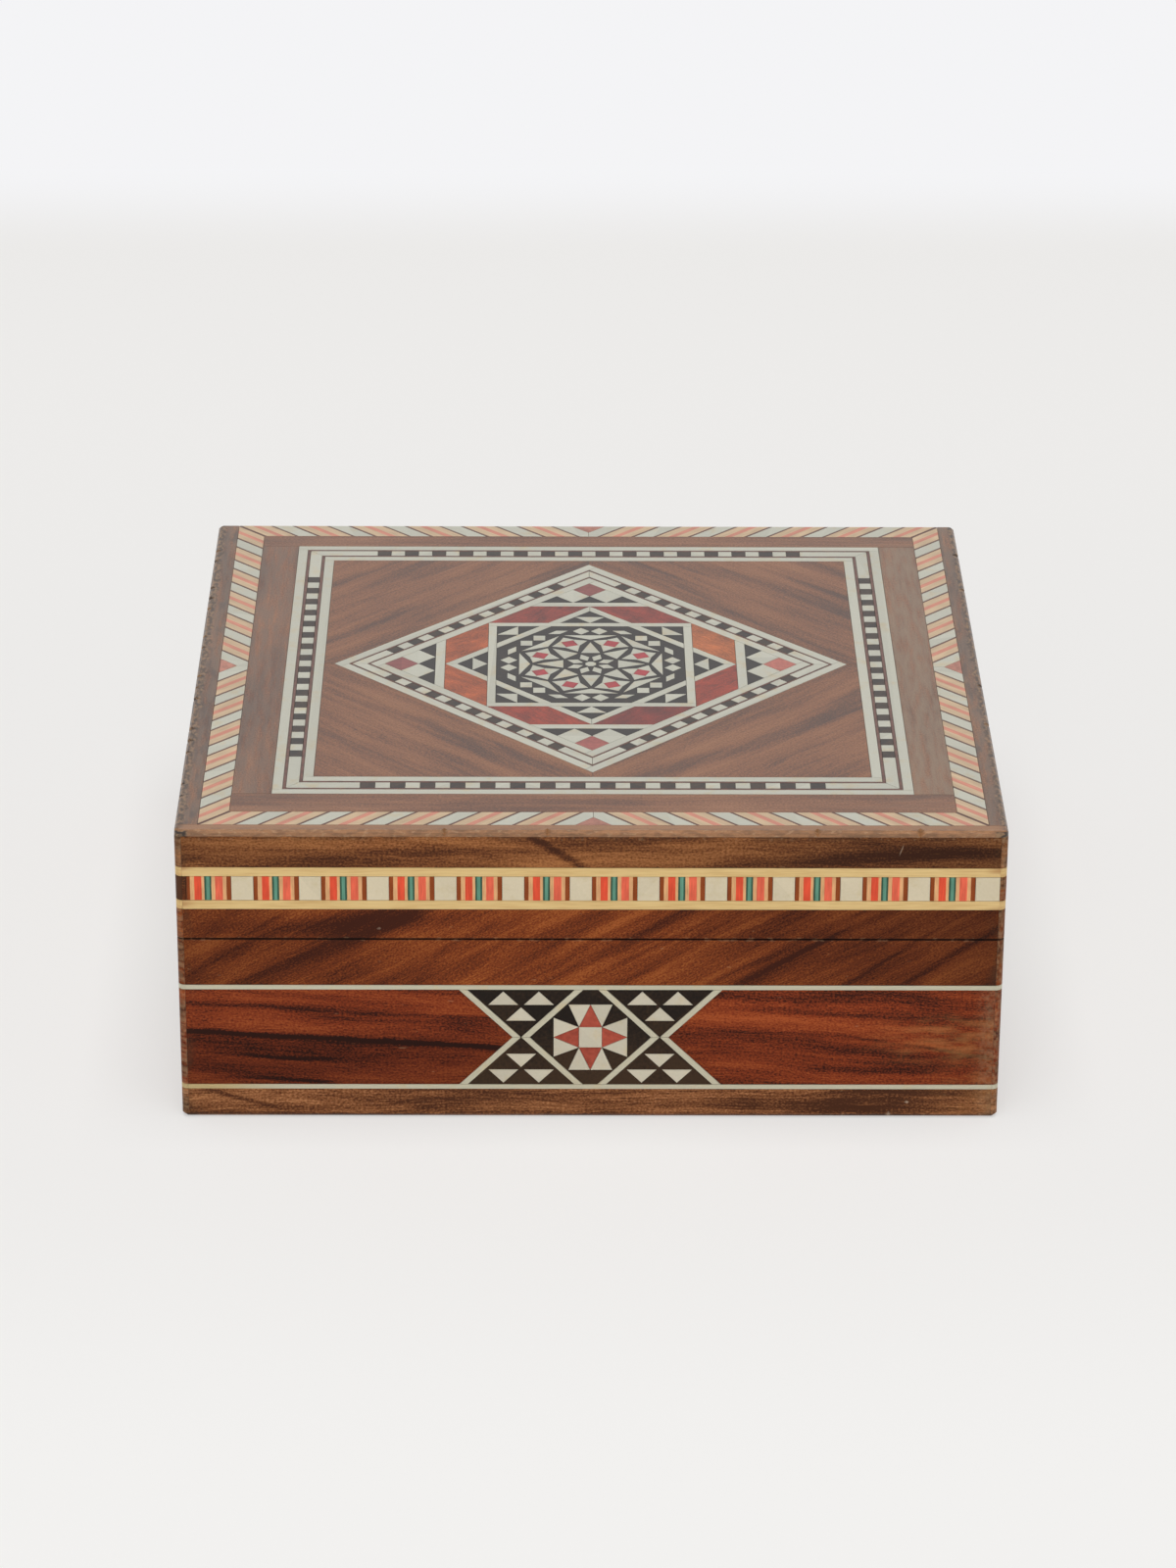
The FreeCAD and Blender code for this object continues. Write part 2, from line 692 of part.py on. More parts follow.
def build_star_lines(outer, inner):
    """Two crossed squares of white line, and the small triangles in their points and corners."""
    build_ring("lid_star_lines", outer, outer - inner, 0)
    point = inner * ROOT_TWO
    notch = outer * ROOT_TWO - inner
    for quarter in range(4):
        spin = QUARTER_ANGLE * quarter
        bar = turned(rectangle(inner, -outer, outer, outer), EIGHTH_ANGLE)
        within = cut(cut(bar, 0, inner), 90, inner)
        PANEL.lay("lid_star_lines", turned(within, spin))
        past_right = cut(cut(bar, 180, -outer), 270, 0)
        PANEL.lay("lid_star_lines", turned(past_right, spin))
        PANEL.lay("lid_star_lines", turned([(u, -v) for u, v in past_right], spin))
        for corners in (
            ((point, 0), (outer, point - outer), (outer, outer - point)),
            ((inner, inner), (notch, inner), (inner, notch)),
        ):
            black, white = split(*corners, STAR_ROWS)
            for triangle in black:
                PANEL.lay("lid_star_black", turned(triangle, spin))
            for triangle in white:
                PANEL.lay("lid_star_bone", turned(triangle, spin))


def build_rosette(inner):
    """The round figure in the octagon: white and red tiles let into a black ground."""
    def sized(outline):
        return [(u * inner, v * inner) for u, v in outline]

    def tile(half, radius, aside):
        outline = [(radius + half, aside), (radius, aside + half)]
        return outline + [(radius - half, aside), (radius, aside - half)]

    openings = []

    def inlay(node, outline, spin):
        piece = turned(sized(outline), spin)
        openings.append(piece)
        PANEL.lay(node, piece)

    along, across = direction(EIGHTH_ANGLE / 2)
    long_half = CORNER_TILE_SHARE * along
    short_half = CORNER_TILE_SHARE * across
    corner_tile = [(CORNER_RADIUS_SHARE + short_half, 0), (CORNER_RADIUS_SHARE, long_half)]
    corner_tile += [(CORNER_RADIUS_SHARE - short_half, 0), (CORNER_RADIUS_SHARE, -long_half)]
    lens = [(LENS_BASE_SHARE, -LENS_HALF_SHARE), (LENS_BASE_SHARE, LENS_HALF_SHARE), (LENS_APEX_SHARE, 0)]
    petal = [(PETAL_BASE_SHARE, -PETAL_HALF_SHARE), (PETAL_APEX_SHARE, 0)]
    petal += [(PETAL_BASE_SHARE, PETAL_HALF_SHARE)]
    heart = [(HEART_INNER_SHARE, 0), (HEART_WAIST_SHARE, -HEART_HALF_SHARE)]
    heart += [(HEART_OUTER_SHARE, 0), (HEART_WAIST_SHARE, HEART_HALF_SHARE)]

    tips = [(KITE_OUTER_SHARE - KITE_RADIUS_SHARE, 0), (0, KITE_SIDE_SHARE)]
    tips += [(KITE_INNER_SHARE - KITE_RADIUS_SHARE, 0), (0, -KITE_SIDE_SHARE)]
    square = turned([(KITE_SQUARE_SHARE * ROOT_TWO, 0)], EIGHTH_ANGLE)
    waist = turned([(KITE_WAIST_SHARE * ROOT_TWO, 0)], EIGHTH_ANGLE)
    square = [turned(square, QUARTER_ANGLE * quarter)[0] for quarter in range(4)]
    waist = [turned(waist, QUARTER_ANGLE * quarter)[0] for quarter in range(4)]

    for eighth in range(8):
        spin = EIGHTH_ANGLE * eighth
        for aside in (-RING_SPACING_SHARE, RING_SPACING_SHARE):
            inlay("lid_star_bone", tile(RING_TILE_SHARE, RING_RADIUS_SHARE, aside), spin)
        inlay("lid_star_bone", corner_tile, spin + EIGHTH_ANGLE / 2)
        inlay("lid_star_bone", lens, spin)
        inlay("lid_star_bone", petal, spin)
        inlay("lid_star_bone", heart, spin + EIGHTH_ANGLE / 2)

        def on_kite(outline):
            moved = [(u + KITE_RADIUS_SHARE, v) for u, v in outline]
            return turned(sized(moved), spin + EIGHTH_ANGLE / 2)

        PANEL.lay("lid_star_red", on_kite(square))
        for quarter in range(4):
            before = quarter - 1
            arm = [square[before], waist[before], tips[quarter], waist[quarter], square[quarter]]
            PANEL.lay("lid_star_bone", on_kite(arm))
        openings.append(on_kite([point for pair in zip(tips, waist) for point in pair]))

    core = [turned([(HEART_CORE_SHARE, 0)], EIGHTH_ANGLE * eighth)[0] for eighth in range(8)]
    inlay("lid_star_bone", core, EIGHTH_ANGLE / 2)
    corner = (inner / along, 0)
    octagon = [turned([corner], EIGHTH_ANGLE * eighth + EIGHTH_ANGLE / 2)[0] for eighth in range(8)]
    PANEL.lay_ground("lid_star_black", octagon, openings)


def build_lid_top():
    build_borders()
    build_rope(0, LAID_Y, LAID_X)
    build_rope(90, LAID_X, LAID_Y)
    build_rope(180, LAID_Y, LAID_X)
    build_rope(270, LAID_X, LAID_Y)
    build_line_frame("lid_frame_lines", FRAME_HALF, FRAME_LINE, HAIRLINE, FRAME_CHECK, FRAME_CORNER, 0)
    build_field()
    build_line_frame(
        "lid_diamond_lines", DIAMOND_TIP / ROOT_TWO, DIAMOND_LINE, DIAMOND_HAIRLINE,
        DIAMOND_CHECK, DIAMOND_CORNER, EIGHTH_ANGLE,
    )
    outer = STAR_TIP / 2
    inner = outer - STAR_LINE
    build_star_arms(outer)
    build_star_lines(outer, inner)
    build_rosette(inner)


build_carcass()
build_lining()
build_hinges()
build_base_sides()
build_lid_sides()
build_lid_top()

os.makedirs("parts", exist_ok=True)
for node_name, solids in nodes.items():
    piece = solids[0] if len(solids) == 1 else Part.makeCompound(solids)
    piece.exportStep("parts/" + node_name + ".step")
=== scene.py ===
"""Looks of the keepsake box: woods, bone, stripes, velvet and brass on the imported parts, in metres."""
import math

import bmesh
import bpy
from mathutils import Matrix, Vector, noise


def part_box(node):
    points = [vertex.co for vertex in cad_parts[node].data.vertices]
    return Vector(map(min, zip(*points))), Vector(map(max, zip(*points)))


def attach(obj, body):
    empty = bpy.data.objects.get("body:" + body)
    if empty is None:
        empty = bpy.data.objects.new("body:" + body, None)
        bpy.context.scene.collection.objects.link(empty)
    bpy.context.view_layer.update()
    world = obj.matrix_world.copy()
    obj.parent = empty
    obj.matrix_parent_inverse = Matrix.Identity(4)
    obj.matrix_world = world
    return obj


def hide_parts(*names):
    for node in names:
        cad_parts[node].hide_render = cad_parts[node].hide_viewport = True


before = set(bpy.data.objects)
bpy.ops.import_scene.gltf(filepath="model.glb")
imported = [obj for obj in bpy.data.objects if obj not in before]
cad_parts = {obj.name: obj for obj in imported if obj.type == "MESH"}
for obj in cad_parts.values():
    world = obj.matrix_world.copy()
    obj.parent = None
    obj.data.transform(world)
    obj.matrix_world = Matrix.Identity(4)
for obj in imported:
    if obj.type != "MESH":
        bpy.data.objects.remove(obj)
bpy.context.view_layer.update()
MM = 0.001
HALF_ROOT_TWO = math.sqrt(0.5)

# Sizes of the box in millimetres, as in the solids
HALF_WIDTH = 50.0
HALF_DEPTH = 48.0
HEIGHT = 39.0
SEAM = 24.5
CORE_X = 49.2
CORE_Y = 47.2
CORE_TOP = 38.2
FIELD_LOW = 4.3
FIELD_HIGH = 17.9
EDGING_MIDDLE = 31.3
ROPE_MIDDLE_X = 0.25
ROPE_MIDDLE_Y = 0.7
PANEL_MIDDLE_Y = 1.45
LAID_X = 43.9
LAID_Y = 43.4
ROPE_BONE = 2.56
ROPE_CORNER = 4.62
ROPE_PITCH_X = 7.624
ROPE_PITCH_Y = 7.524
BORDER_LOW = -46.3
BORDER_HIGH = 47.7
FRAME_LOW = -37.6
FRAME_HIGH = 40.5
BAND_PITCH = 8.14
BAND_STRIPED = 5.46
BAND_START_FRONT = 48.75
BAND_START_SIDE = 47.55

# Colours, linear
BONE_TOP = (0.48, 0.475, 0.4)
BONE_STRINGING = (0.465, 0.435, 0.328)
BONE_MOTIF = (0.5, 0.458, 0.36)
BONE_BAND = (0.565, 0.492, 0.352)
BONE_AGED = (0.5, 0.41, 0.25)
BONE_FOOT = (0.42, 0.3, 0.12)
CREAM = (0.62, 0.45, 0.205)
CREAM_DARK = (0.52, 0.34, 0.14)
YELLOW = (0.586, 0.32, 0.15)
RED = (0.6, 0.07, 0.033)
CORAL = (0.63, 0.112, 0.063)
GREEN = (0.035, 0.085, 0.055)
GREEN_LIGHT = (0.1, 0.24, 0.17)
STRIPE_BROWN = (0.22, 0.048, 0.012)
BLACK = (0.012, 0.0085, 0.0065)
BLACK_WORN = (0.042, 0.023, 0.012)
PALE_WOOD = (0.36, 0.22, 0.12)
GLUE = (0.03, 0.014, 0.008)
ROPE_YELLOW = (0.54, 0.39, 0.24)
ROPE_CORAL = (0.56, 0.215, 0.145)
ROPE_BROWN = (0.12, 0.05, 0.032)
ROPE_RED = (0.38, 0.165, 0.12)
MOTIF_RED = (0.305, 0.058, 0.036)
ROSETTE_RED = (0.34, 0.03, 0.038)
HAIRLINE_DARK = (0.075, 0.029, 0.019)
HAIRLINE_PALE = (0.14, 0.056, 0.036)
BRASS = (0.72, 0.49, 0.2)
BRASS_TARNISHED = (0.4, 0.24, 0.09)
VELVET_DARK = (0.125, 0.0075, 0.0125)
# The paler velvet colour is painted sheen, for patches where the nap catches the light.
VELVET_PAINTED_SHEEN = (0.195, 0.011, 0.0185)
VELVET_SHEEN = (0.9, 0.32, 0.32)

# Woods, as dark, middle and pale
BORDER_WALNUT = ((0.07, 0.03, 0.016), (0.18, 0.076, 0.032), (0.27, 0.125, 0.058))
INNER_WALNUT = ((0.075, 0.03, 0.015), (0.178, 0.069, 0.028), (0.27, 0.12, 0.055))
CORNER_WALNUT = ((0.055, 0.024, 0.013), (0.182, 0.067, 0.025), (0.26, 0.112, 0.047))
SOFTWOOD = ((0.3, 0.17, 0.075), (0.47, 0.3, 0.15), (0.58, 0.41, 0.23))


class Value:
    """A number or colour that varies over a surface. Sums and products of it become nodes."""

    def __init__(self, graph, socket):
        self.graph = graph
        self.socket = socket

    def __add__(self, other):
        return self.graph.math("ADD", self, other)

    def __sub__(self, other):
        return self.graph.math("SUBTRACT", self, other)

    def __rsub__(self, other):
        return self.graph.math("SUBTRACT", other, self)

    def __mul__(self, other):
        return self.graph.math("MULTIPLY", self, other)

    def __truediv__(self, other):
        return self.graph.math("DIVIDE", self, other)

    def __mod__(self, other):
        return self.graph.math("FLOORED_MODULO", self, other)

    def __gt__(self, other):
        return self.graph.math("GREATER_THAN", self, other)

    def __lt__(self, other):
        return self.graph.math("LESS_THAN", self, other)

    def __abs__(self):
        return self.graph.math("ABSOLUTE", self)

    __radd__ = __add__
    __rmul__ = __mul__


class Graph:
    """The nodes of one material. x, y and z are the place on the resting box in millimetres."""

    def __init__(self, name):
        self.material = bpy.data.materials.new(name)
        self.material.use_nodes = True
        self.tree = self.material.node_tree
        self.tree.nodes.clear()
        coordinates = self.add("TexCoord", {})
        place = self.add("VectorMath", {0: coordinates.outputs["Object"], "Scale": 1 / MM}, operation="SCALE")
        parts = self.add("SeparateXYZ", {0: place.outputs[0]})
        self.x, self.y, self.z = (Value(self, socket) for socket in parts.outputs)
        island = self.add("NewGeometry", {}).outputs["Random Per Island"]
        self.chance = Value(self, island)

    def add(self, kind, inputs, **settings):
        """A new node. Its inputs are linked or set, and its settings are properties of the node."""
        node = self.tree.nodes.new("ShaderNode" + kind)
        for name, setting in settings.items():
            setattr(node, name, setting)
        for name, value in inputs.items():
            value = value.socket if isinstance(value, Value) else value
            if isinstance(value, bpy.types.NodeSocket):
                self.tree.links.new(value, node.inputs[name])
            elif isinstance(value, tuple) and len(value) == 3 and node.inputs[name].type == "RGBA":
                node.inputs[name].default_value = value + (1,)
            else:
                node.inputs[name].default_value = value
        return node

    def math(self, operation, *values):
        """One step of arithmetic on values, sockets or numbers."""
        node = self.add("Math", dict(enumerate(values)), operation=operation)
        return Value(self, node.outputs[0])

    def noise(self, a, b, c, detail=2.0, distortion=0.0):
        """Smooth noise about 0.5, with features about one unit wide."""
        vector = self.add("CombineXYZ", {0: a, 1: b, 2: c}).outputs[0]
        inputs = {"Vector": vector, "Scale": 1.0, "Detail": detail, "Distortion": distortion}
        return Value(self, self.add("TexNoise", inputs).outputs[0])

    def soft(self, value, low, high):
        """A smooth step from 0 at low to 1 at high."""
        inputs = {"Value": value, "From Min": low, "From Max": high}
        return Value(self, self.add("MapRange", inputs, interpolation_type="SMOOTHSTEP").outputs[0])

    def ramp(self, value, stops, interpolation="LINEAR"):
        """Colours at places from 0 to 1."""
        node = self.add("ValToRGB", {0: value})
        node.color_ramp.interpolation = interpolation
        elements = node.color_ramp.elements
        while len(elements) < len(stops):
            elements.new(1.0)
        for element, (position, colour) in zip(elements, stops):
            element.position = position
            element.color = colour + (1,)
        return Value(self, node.outputs[0])

    def profile(self, value, low, high, stops):
        """A number that follows stops between two ends of a value."""
        share = (value - low) / (high - low)
        greys = [((place - low) / (high - low), (level,) * 3) for place, level in stops]
        return self.ramp(share, greys)

    def mix(self, share, one, two):
        """The first colour where share is 0, and the second where it is 1."""
        node = self.add("Mix", {0: share, 6: one, 7: two}, data_type="RGBA")
        return Value(self, node.outputs[2])

    def shade(self, colour, level):
        """A colour times a number."""
        return Value(self, self.add("VectorMath", {0: colour, "Scale": level}, operation="SCALE").outputs[0])

    def surface(self, colour, roughness, relief, depth, **settings):
        """Ends the material. relief is a height from 0 to 1, and depth its size in millimetres."""
        bump = self.add("Bump", {"Height": relief, "Distance": depth * MM, "Strength": 1.0})
        inputs = {"Base Color": colour, "Roughness": roughness, "Normal": bump.outputs[0]}
        for name, value in settings.items():
            inputs[name.replace("_", " ")] = value
        shader = self.add("BsdfPrincipled", inputs)
        self.add("OutputMaterial", {"Surface": shader.outputs[0]})
        return self.material


# Varnish: dull on the sides, and glossier on the lid
SIDE_GLOSS = {"Specular_IOR_Level": 0.09}
TOP_GLOSS = {"Specular_IOR_Level": 0.5}


def grain(graph, along, across, seed, streaks=0.0, stripes=1.0):
    """How light a wood is, about 0 to 1: clouds, stripes, fibres, grit, pores, flecks and given streaks."""
    wander = graph.noise(along * 0.05, across * 0.15, seed + 3.0)
    across = across + (wander - 0.5) * 2.2
    clouds = graph.noise(along * 0.04, across * 0.3, seed, detail=4.0)
    bands = graph.noise(along * 0.025, across * 1.3, seed + 17.0, detail=3.0)
    fibres = graph.noise(along * 0.28, across * 5.5, seed + 5.0, detail=4.0)
    grit = graph.noise(along * 3.2, across * 5.0, seed + 11.0, detail=4.0)
    pores = graph.soft(graph.noise(along * 1.1, across * 9.0, seed + 9.0, detail=3.0), 0.56, 0.7)
    flecks = graph.soft(graph.noise(along * 1.8, across * 7.0, seed + 13.0, detail=3.0), 0.63, 0.75)
    striped = (bands - 0.5) * 1.1 + (fibres - 0.5) * 1.2
    light = 0.5 + (clouds - 0.5) * 1.7 + striped * stripes + (grit - 0.5) * 1.6
    return light - pores * 0.24 + flecks * 0.26 - streaks


def wood(graph, light, colours):
    """The colour of a wood, from dark to pale by how light it is."""
    dark, middle, pale = colours
    return graph.ramp(light, [(0.08, dark), (0.5, middle), (0.92, pale)])


# Walnut on the sides, strip by strip from the bottom up: the two strips at the seam are one piece of veneer
BOTTOM_WALNUT = ((0.055, 0.018, 0.007), (0.192, 0.07, 0.025), (0.38, 0.17, 0.07))
FIELD_WALNUT = ((0.022, 0.0055, 0.0025), (0.145, 0.0235, 0.006), (0.25, 0.054, 0.0135))
SEAM_WALNUT = ((0.046, 0.0105, 0.004), (0.158, 0.0335, 0.0073), (0.29, 0.08, 0.018))
TOP_STRIP_WALNUT = ((0.048, 0.015, 0.006), (0.165, 0.057, 0.018), (0.31, 0.125, 0.042))
RUBBED_WOOD = (0.36, 0.155, 0.05)
DENTED_WOOD = (0.46, 0.35, 0.25)
FIELD_SLOPE = 0.06
SEAM_SLOPE = 0.55

# Dark streaks on the front: start and end as place along and height, then width and strength
BOTTOM_STREAKS = (
    ((-47, 3.9), (-38.5, 1.4), 0.5, 0.45),
)
FIELD_STREAKS = (
    ((-52, 12.1), (-6, 9.4), 0.55, 0.75),
    ((-50, 10.6), (-8, 8.6), 2.6, 0.2),
    ((-50, 15.9), (-8, 13.2), 0.7, 0.28),
    ((-42, 8.6), (-30, 7.8), 0.42, 0.5),
    ((-44, 5.6), (-32, 4.9), 0.42, 0.55),
    ((22, 14.6), (42, 13.6), 0.5, 0.2),
    ((29, 11.6), (51, 8.0), 0.5, 0.36),
    ((17, 6.3), (40, 6.6), 1.3, 0.3),
)
SEAM_STREAKS = (
    ((-43, 17.8), (-21, 28.2), 1.5, 0.55),
    ((-50, 25.6), (-16, 27.2), 2.2, 0.3),
    ((18, 18.4), (30, 25.4), 0.6, 0.3),
    ((31, 18.4), (43, 26.6), 0.5, 0.3),
    ((38, 18.4), (52, 28.0), 0.9, 0.4),
)
TOP_STREAKS = (
    ((-8, 38.6), (0, 33.6), 1.0, 0.55),
    ((26, 35.0), (50, 36.6), 1.4, 0.4),
)

# Shades along the front: place along, and how much darker or how light
BOTTOM_DARKER = ((-50, 0.0), (0, 0.08), (25, 0.06), (38, 0.22), (50, 0.14))
FIELD_SHADES = ((-50, 0.9), (-14, 0.92), (14, 1.1), (38, 1.12), (50, 0.95))
SEAM_SHADES = ((-50, 0.7), (-30, 0.88), (-14, 1.05), (6, 1.0), (36, 0.68), (50, 0.5))
TOP_SHADES = ((-50, 0.85), (-22, 1.06), (10, 0.92), (30, 0.76), (50, 0.6))

# Marks on the front: a scratch as a pale streak, and dents as place along, height, reach and strength
SCRATCH = ((37.0, 36.0), (37.4, 37.1), 0.3, 0.4)
DENTS = ((38.9, 2.2, 0.3, 0.6), (36.6, 0.45, 0.5, 0.6), (-25.5, 25.9, 0.26, 0.22))


def streak(graph, start, end, width, strength):
    """A streak between two points of the front, fading at its ends and sides."""
    along, level = graph.x, graph.z
    slope = (end[1] - start[1]) / (end[0] - start[0])
    wobble = graph.noise(along * 0.14, level * 0.1, start[0], detail=3.0) - 0.5
    away = abs(level - start[1] - (along - start[0]) * slope + wobble * 0.8)
    fade = (end[0] - start[0]) * 0.25
    begins = graph.soft(along, start[0] - fade, start[0] + fade)
    stops = graph.soft(along, end[0] + fade, end[0] - fade)
    return graph.soft(away, width, 0.0) * begins * stops * strength


def front_figure(graph):
    """How the strips of the front vary: for each, what darkens its grain, and its shade."""
    along, level = graph.x, graph.z

    def streaks(rows):
        return sum(streak(graph, *row) for row in rows)

    def shades(stops):
        return graph.profile(along, -HALF_WIDTH, HALF_WIDTH, stops)

    upper_left = (graph.soft(level, 9.0, 14.0) - 0.5) * graph.soft(along, 30.0, -20.0)
    upper_right = graph.soft(level, 10.0, 15.0) * graph.soft(along, 8.0, 20.0)
    lid_right = (level > SEAM) * graph.soft(along, 0.0, 24.0)
    field_shade = shades(FIELD_SHADES) * (1.0 + upper_left * 0.4) * (1.0 + upper_right * 0.15)
    return {
        "bottom": (shades(BOTTOM_DARKER) + streaks(BOTTOM_STREAKS), 1.0),
        "field": (streaks(FIELD_STREAKS), field_shade),
        "seam": (streaks(SEAM_STREAKS), shades(SEAM_SHADES) * (1.0 - lid_right * 0.16)),
        "top": (streaks(TOP_STREAKS), shades(TOP_SHADES)),
    }


def side_wear(graph, colour, place, along, half_side, rough, seed):
    """Grime and rubbed wood at the edges, painted shadow of the gap along the seam with its pale chips, and
    scuffs.
    """
    level = graph.z
    corner = graph.soft(abs(place), half_side - 2.4, half_side - 0.4)
    rim = graph.soft(level, HEIGHT - 1.6, HEIGHT - 0.6) + graph.soft(level, 1.0, 0.0)
    edges = corner * 0.8 + rim * 0.8
    grime = graph.soft(graph.noise(along * 0.5, level * 0.25, seed + 85.0, detail=5.0), 0.42, 0.62)
    colour = graph.mix(edges * grime * 0.75, colour, BLACK_WORN)
    colour = graph.mix(rim * graph.soft(rough, 0.56, 0.68) * 0.4, colour, PALE_WOOD)
    from_seam = abs(level - SEAM)
    chipped = graph.soft(graph.noise(along * 0.9, level * 1.5, seed + 95.0, detail=4.0), 0.55, 0.64)
    colour = graph.mix(graph.soft(from_seam, 0.34, 0.12) * chipped * 0.3, colour, PALE_WOOD)
    # Painted shadow of the gap between lid and base, along the seam, weaker where the finish is chipped.
    colour = graph.mix(graph.soft(from_seam, 0.2, 0.1) * (1.0 - chipped * 0.5) * 0.8, colour, BLACK)
    scuffs = graph.soft(graph.noise(along * 0.5, level * 1.7, seed + 90.0, detail=3.0), 0.7, 0.78)
    return graph.mix(scuffs * 0.3, colour, PALE_WOOD)


def front_wear(graph, colour, rough, seed):
    """The rubbed right end of the front, its scratch and its dents."""
    along, level = graph.x, graph.z
    rub = graph.soft(along, 31.0, 46.0) * graph.soft(abs(level - 10.8), 4.2, 1.0)
    rub += graph.soft(along, 39.0, 48.5) * graph.soft(level, 9.0, 4.0) * 0.7
    patches = graph.noise(along * 0.3, level * 1.1, seed + 97.0, detail=8.0)
    colour = graph.mix(rub * graph.soft(patches, 0.34, 0.7) * 0.5, colour, RUBBED_WOOD)
    corner = graph.soft(along, HALF_WIDTH - 3.6, HALF_WIDTH - 1.1)
    corner = corner * graph.soft(level, FIELD_HIGH + 0.7, FIELD_HIGH - 0.5)
    colour = graph.mix(corner * graph.soft(rough, 0.3, 0.7) * 0.32, colour, PALE_WOOD)
    marks = streak(graph, *SCRATCH)
    for dent_along, dent_level, reach, strength in DENTS:
        distance = abs(along - dent_along) * 0.7 + abs(level - dent_level) + (rough - 0.5) * 0.9
        marks += graph.soft(distance, reach, 0.0) * strength
    return graph.mix(marks, colour, DENTED_WOOD)


def side_walnut(side, along_x, seed):
    """Walnut of one side. The streaks are those of the front; the other sides have their own figure."""
    graph = Graph("walnut_" + side)
    place = graph.x if along_x else graph.y
    along = graph.x if along_x else graph.y + graph.x
    half_side = HALF_WIDTH if along_x else HALF_DEPTH
    level = graph.z
    plain = dict.fromkeys(("bottom", "field", "seam", "top"), (0.0, 1.0))
    figure = front_figure(graph) if side == "front" else plain

    def strip(part, run, across, offset, stripes, colours):
        darker, shade = figure[part]
        light = grain(graph, run, across, seed + offset, darker, stripes)
        return graph.shade(wood(graph, light, colours), shade)

    colour = strip("bottom", along, level, 0.0, 1.0, BOTTOM_WALNUT)
    field = strip("field", along, level + along * FIELD_SLOPE, 20.0, 0.6, FIELD_WALNUT)
    seam_run = along + level * SEAM_SLOPE
    seam = strip("seam", seam_run, level - along * SEAM_SLOPE, 40.0, 0.5, SEAM_WALNUT)
    top = strip("top", along, level, 60.0, 0.7, TOP_STRIP_WALNUT)
    for foot, upper in ((FIELD_LOW, field), (FIELD_HIGH, seam), (EDGING_MIDDLE, top)):
        colour = graph.mix(level > foot, colour, upper)

    rough = graph.noise(along * 1.6, level * 1.6, seed + 80.0, detail=5.0)
    colour = side_wear(graph, colour, place, along, half_side, rough, seed)
    if side == "front":
        colour = front_wear(graph, colour, rough, seed)
    if not along_x:
        front_end = graph.soft(place, 1.1 - HALF_DEPTH, 0.7 - HALF_DEPTH)
        colour = graph.mix(front_end * graph.soft(rough, 0.35, 0.65) * 0.4, colour, PALE_WOOD)
    relief = graph.noise(along * 0.35, level * 6.0, seed + 5.0, detail=4.0)
    return graph.surface(colour, 0.5, relief, 0.015, **SIDE_GLOSS)


# Colours of wear on the lid
DUST = (0.125, 0.092, 0.068)
BLOTCH = (0.055, 0.04, 0.033)
OLIVE = (0.27, 0.185, 0.115)
WARM_WOOD = (0.34, 0.165, 0.068)
GRIME = (0.045, 0.022, 0.012)
SPLINTER_DARK = (0.026, 0.015, 0.009)
SPLINTER_PALE = (0.23, 0.135, 0.066)


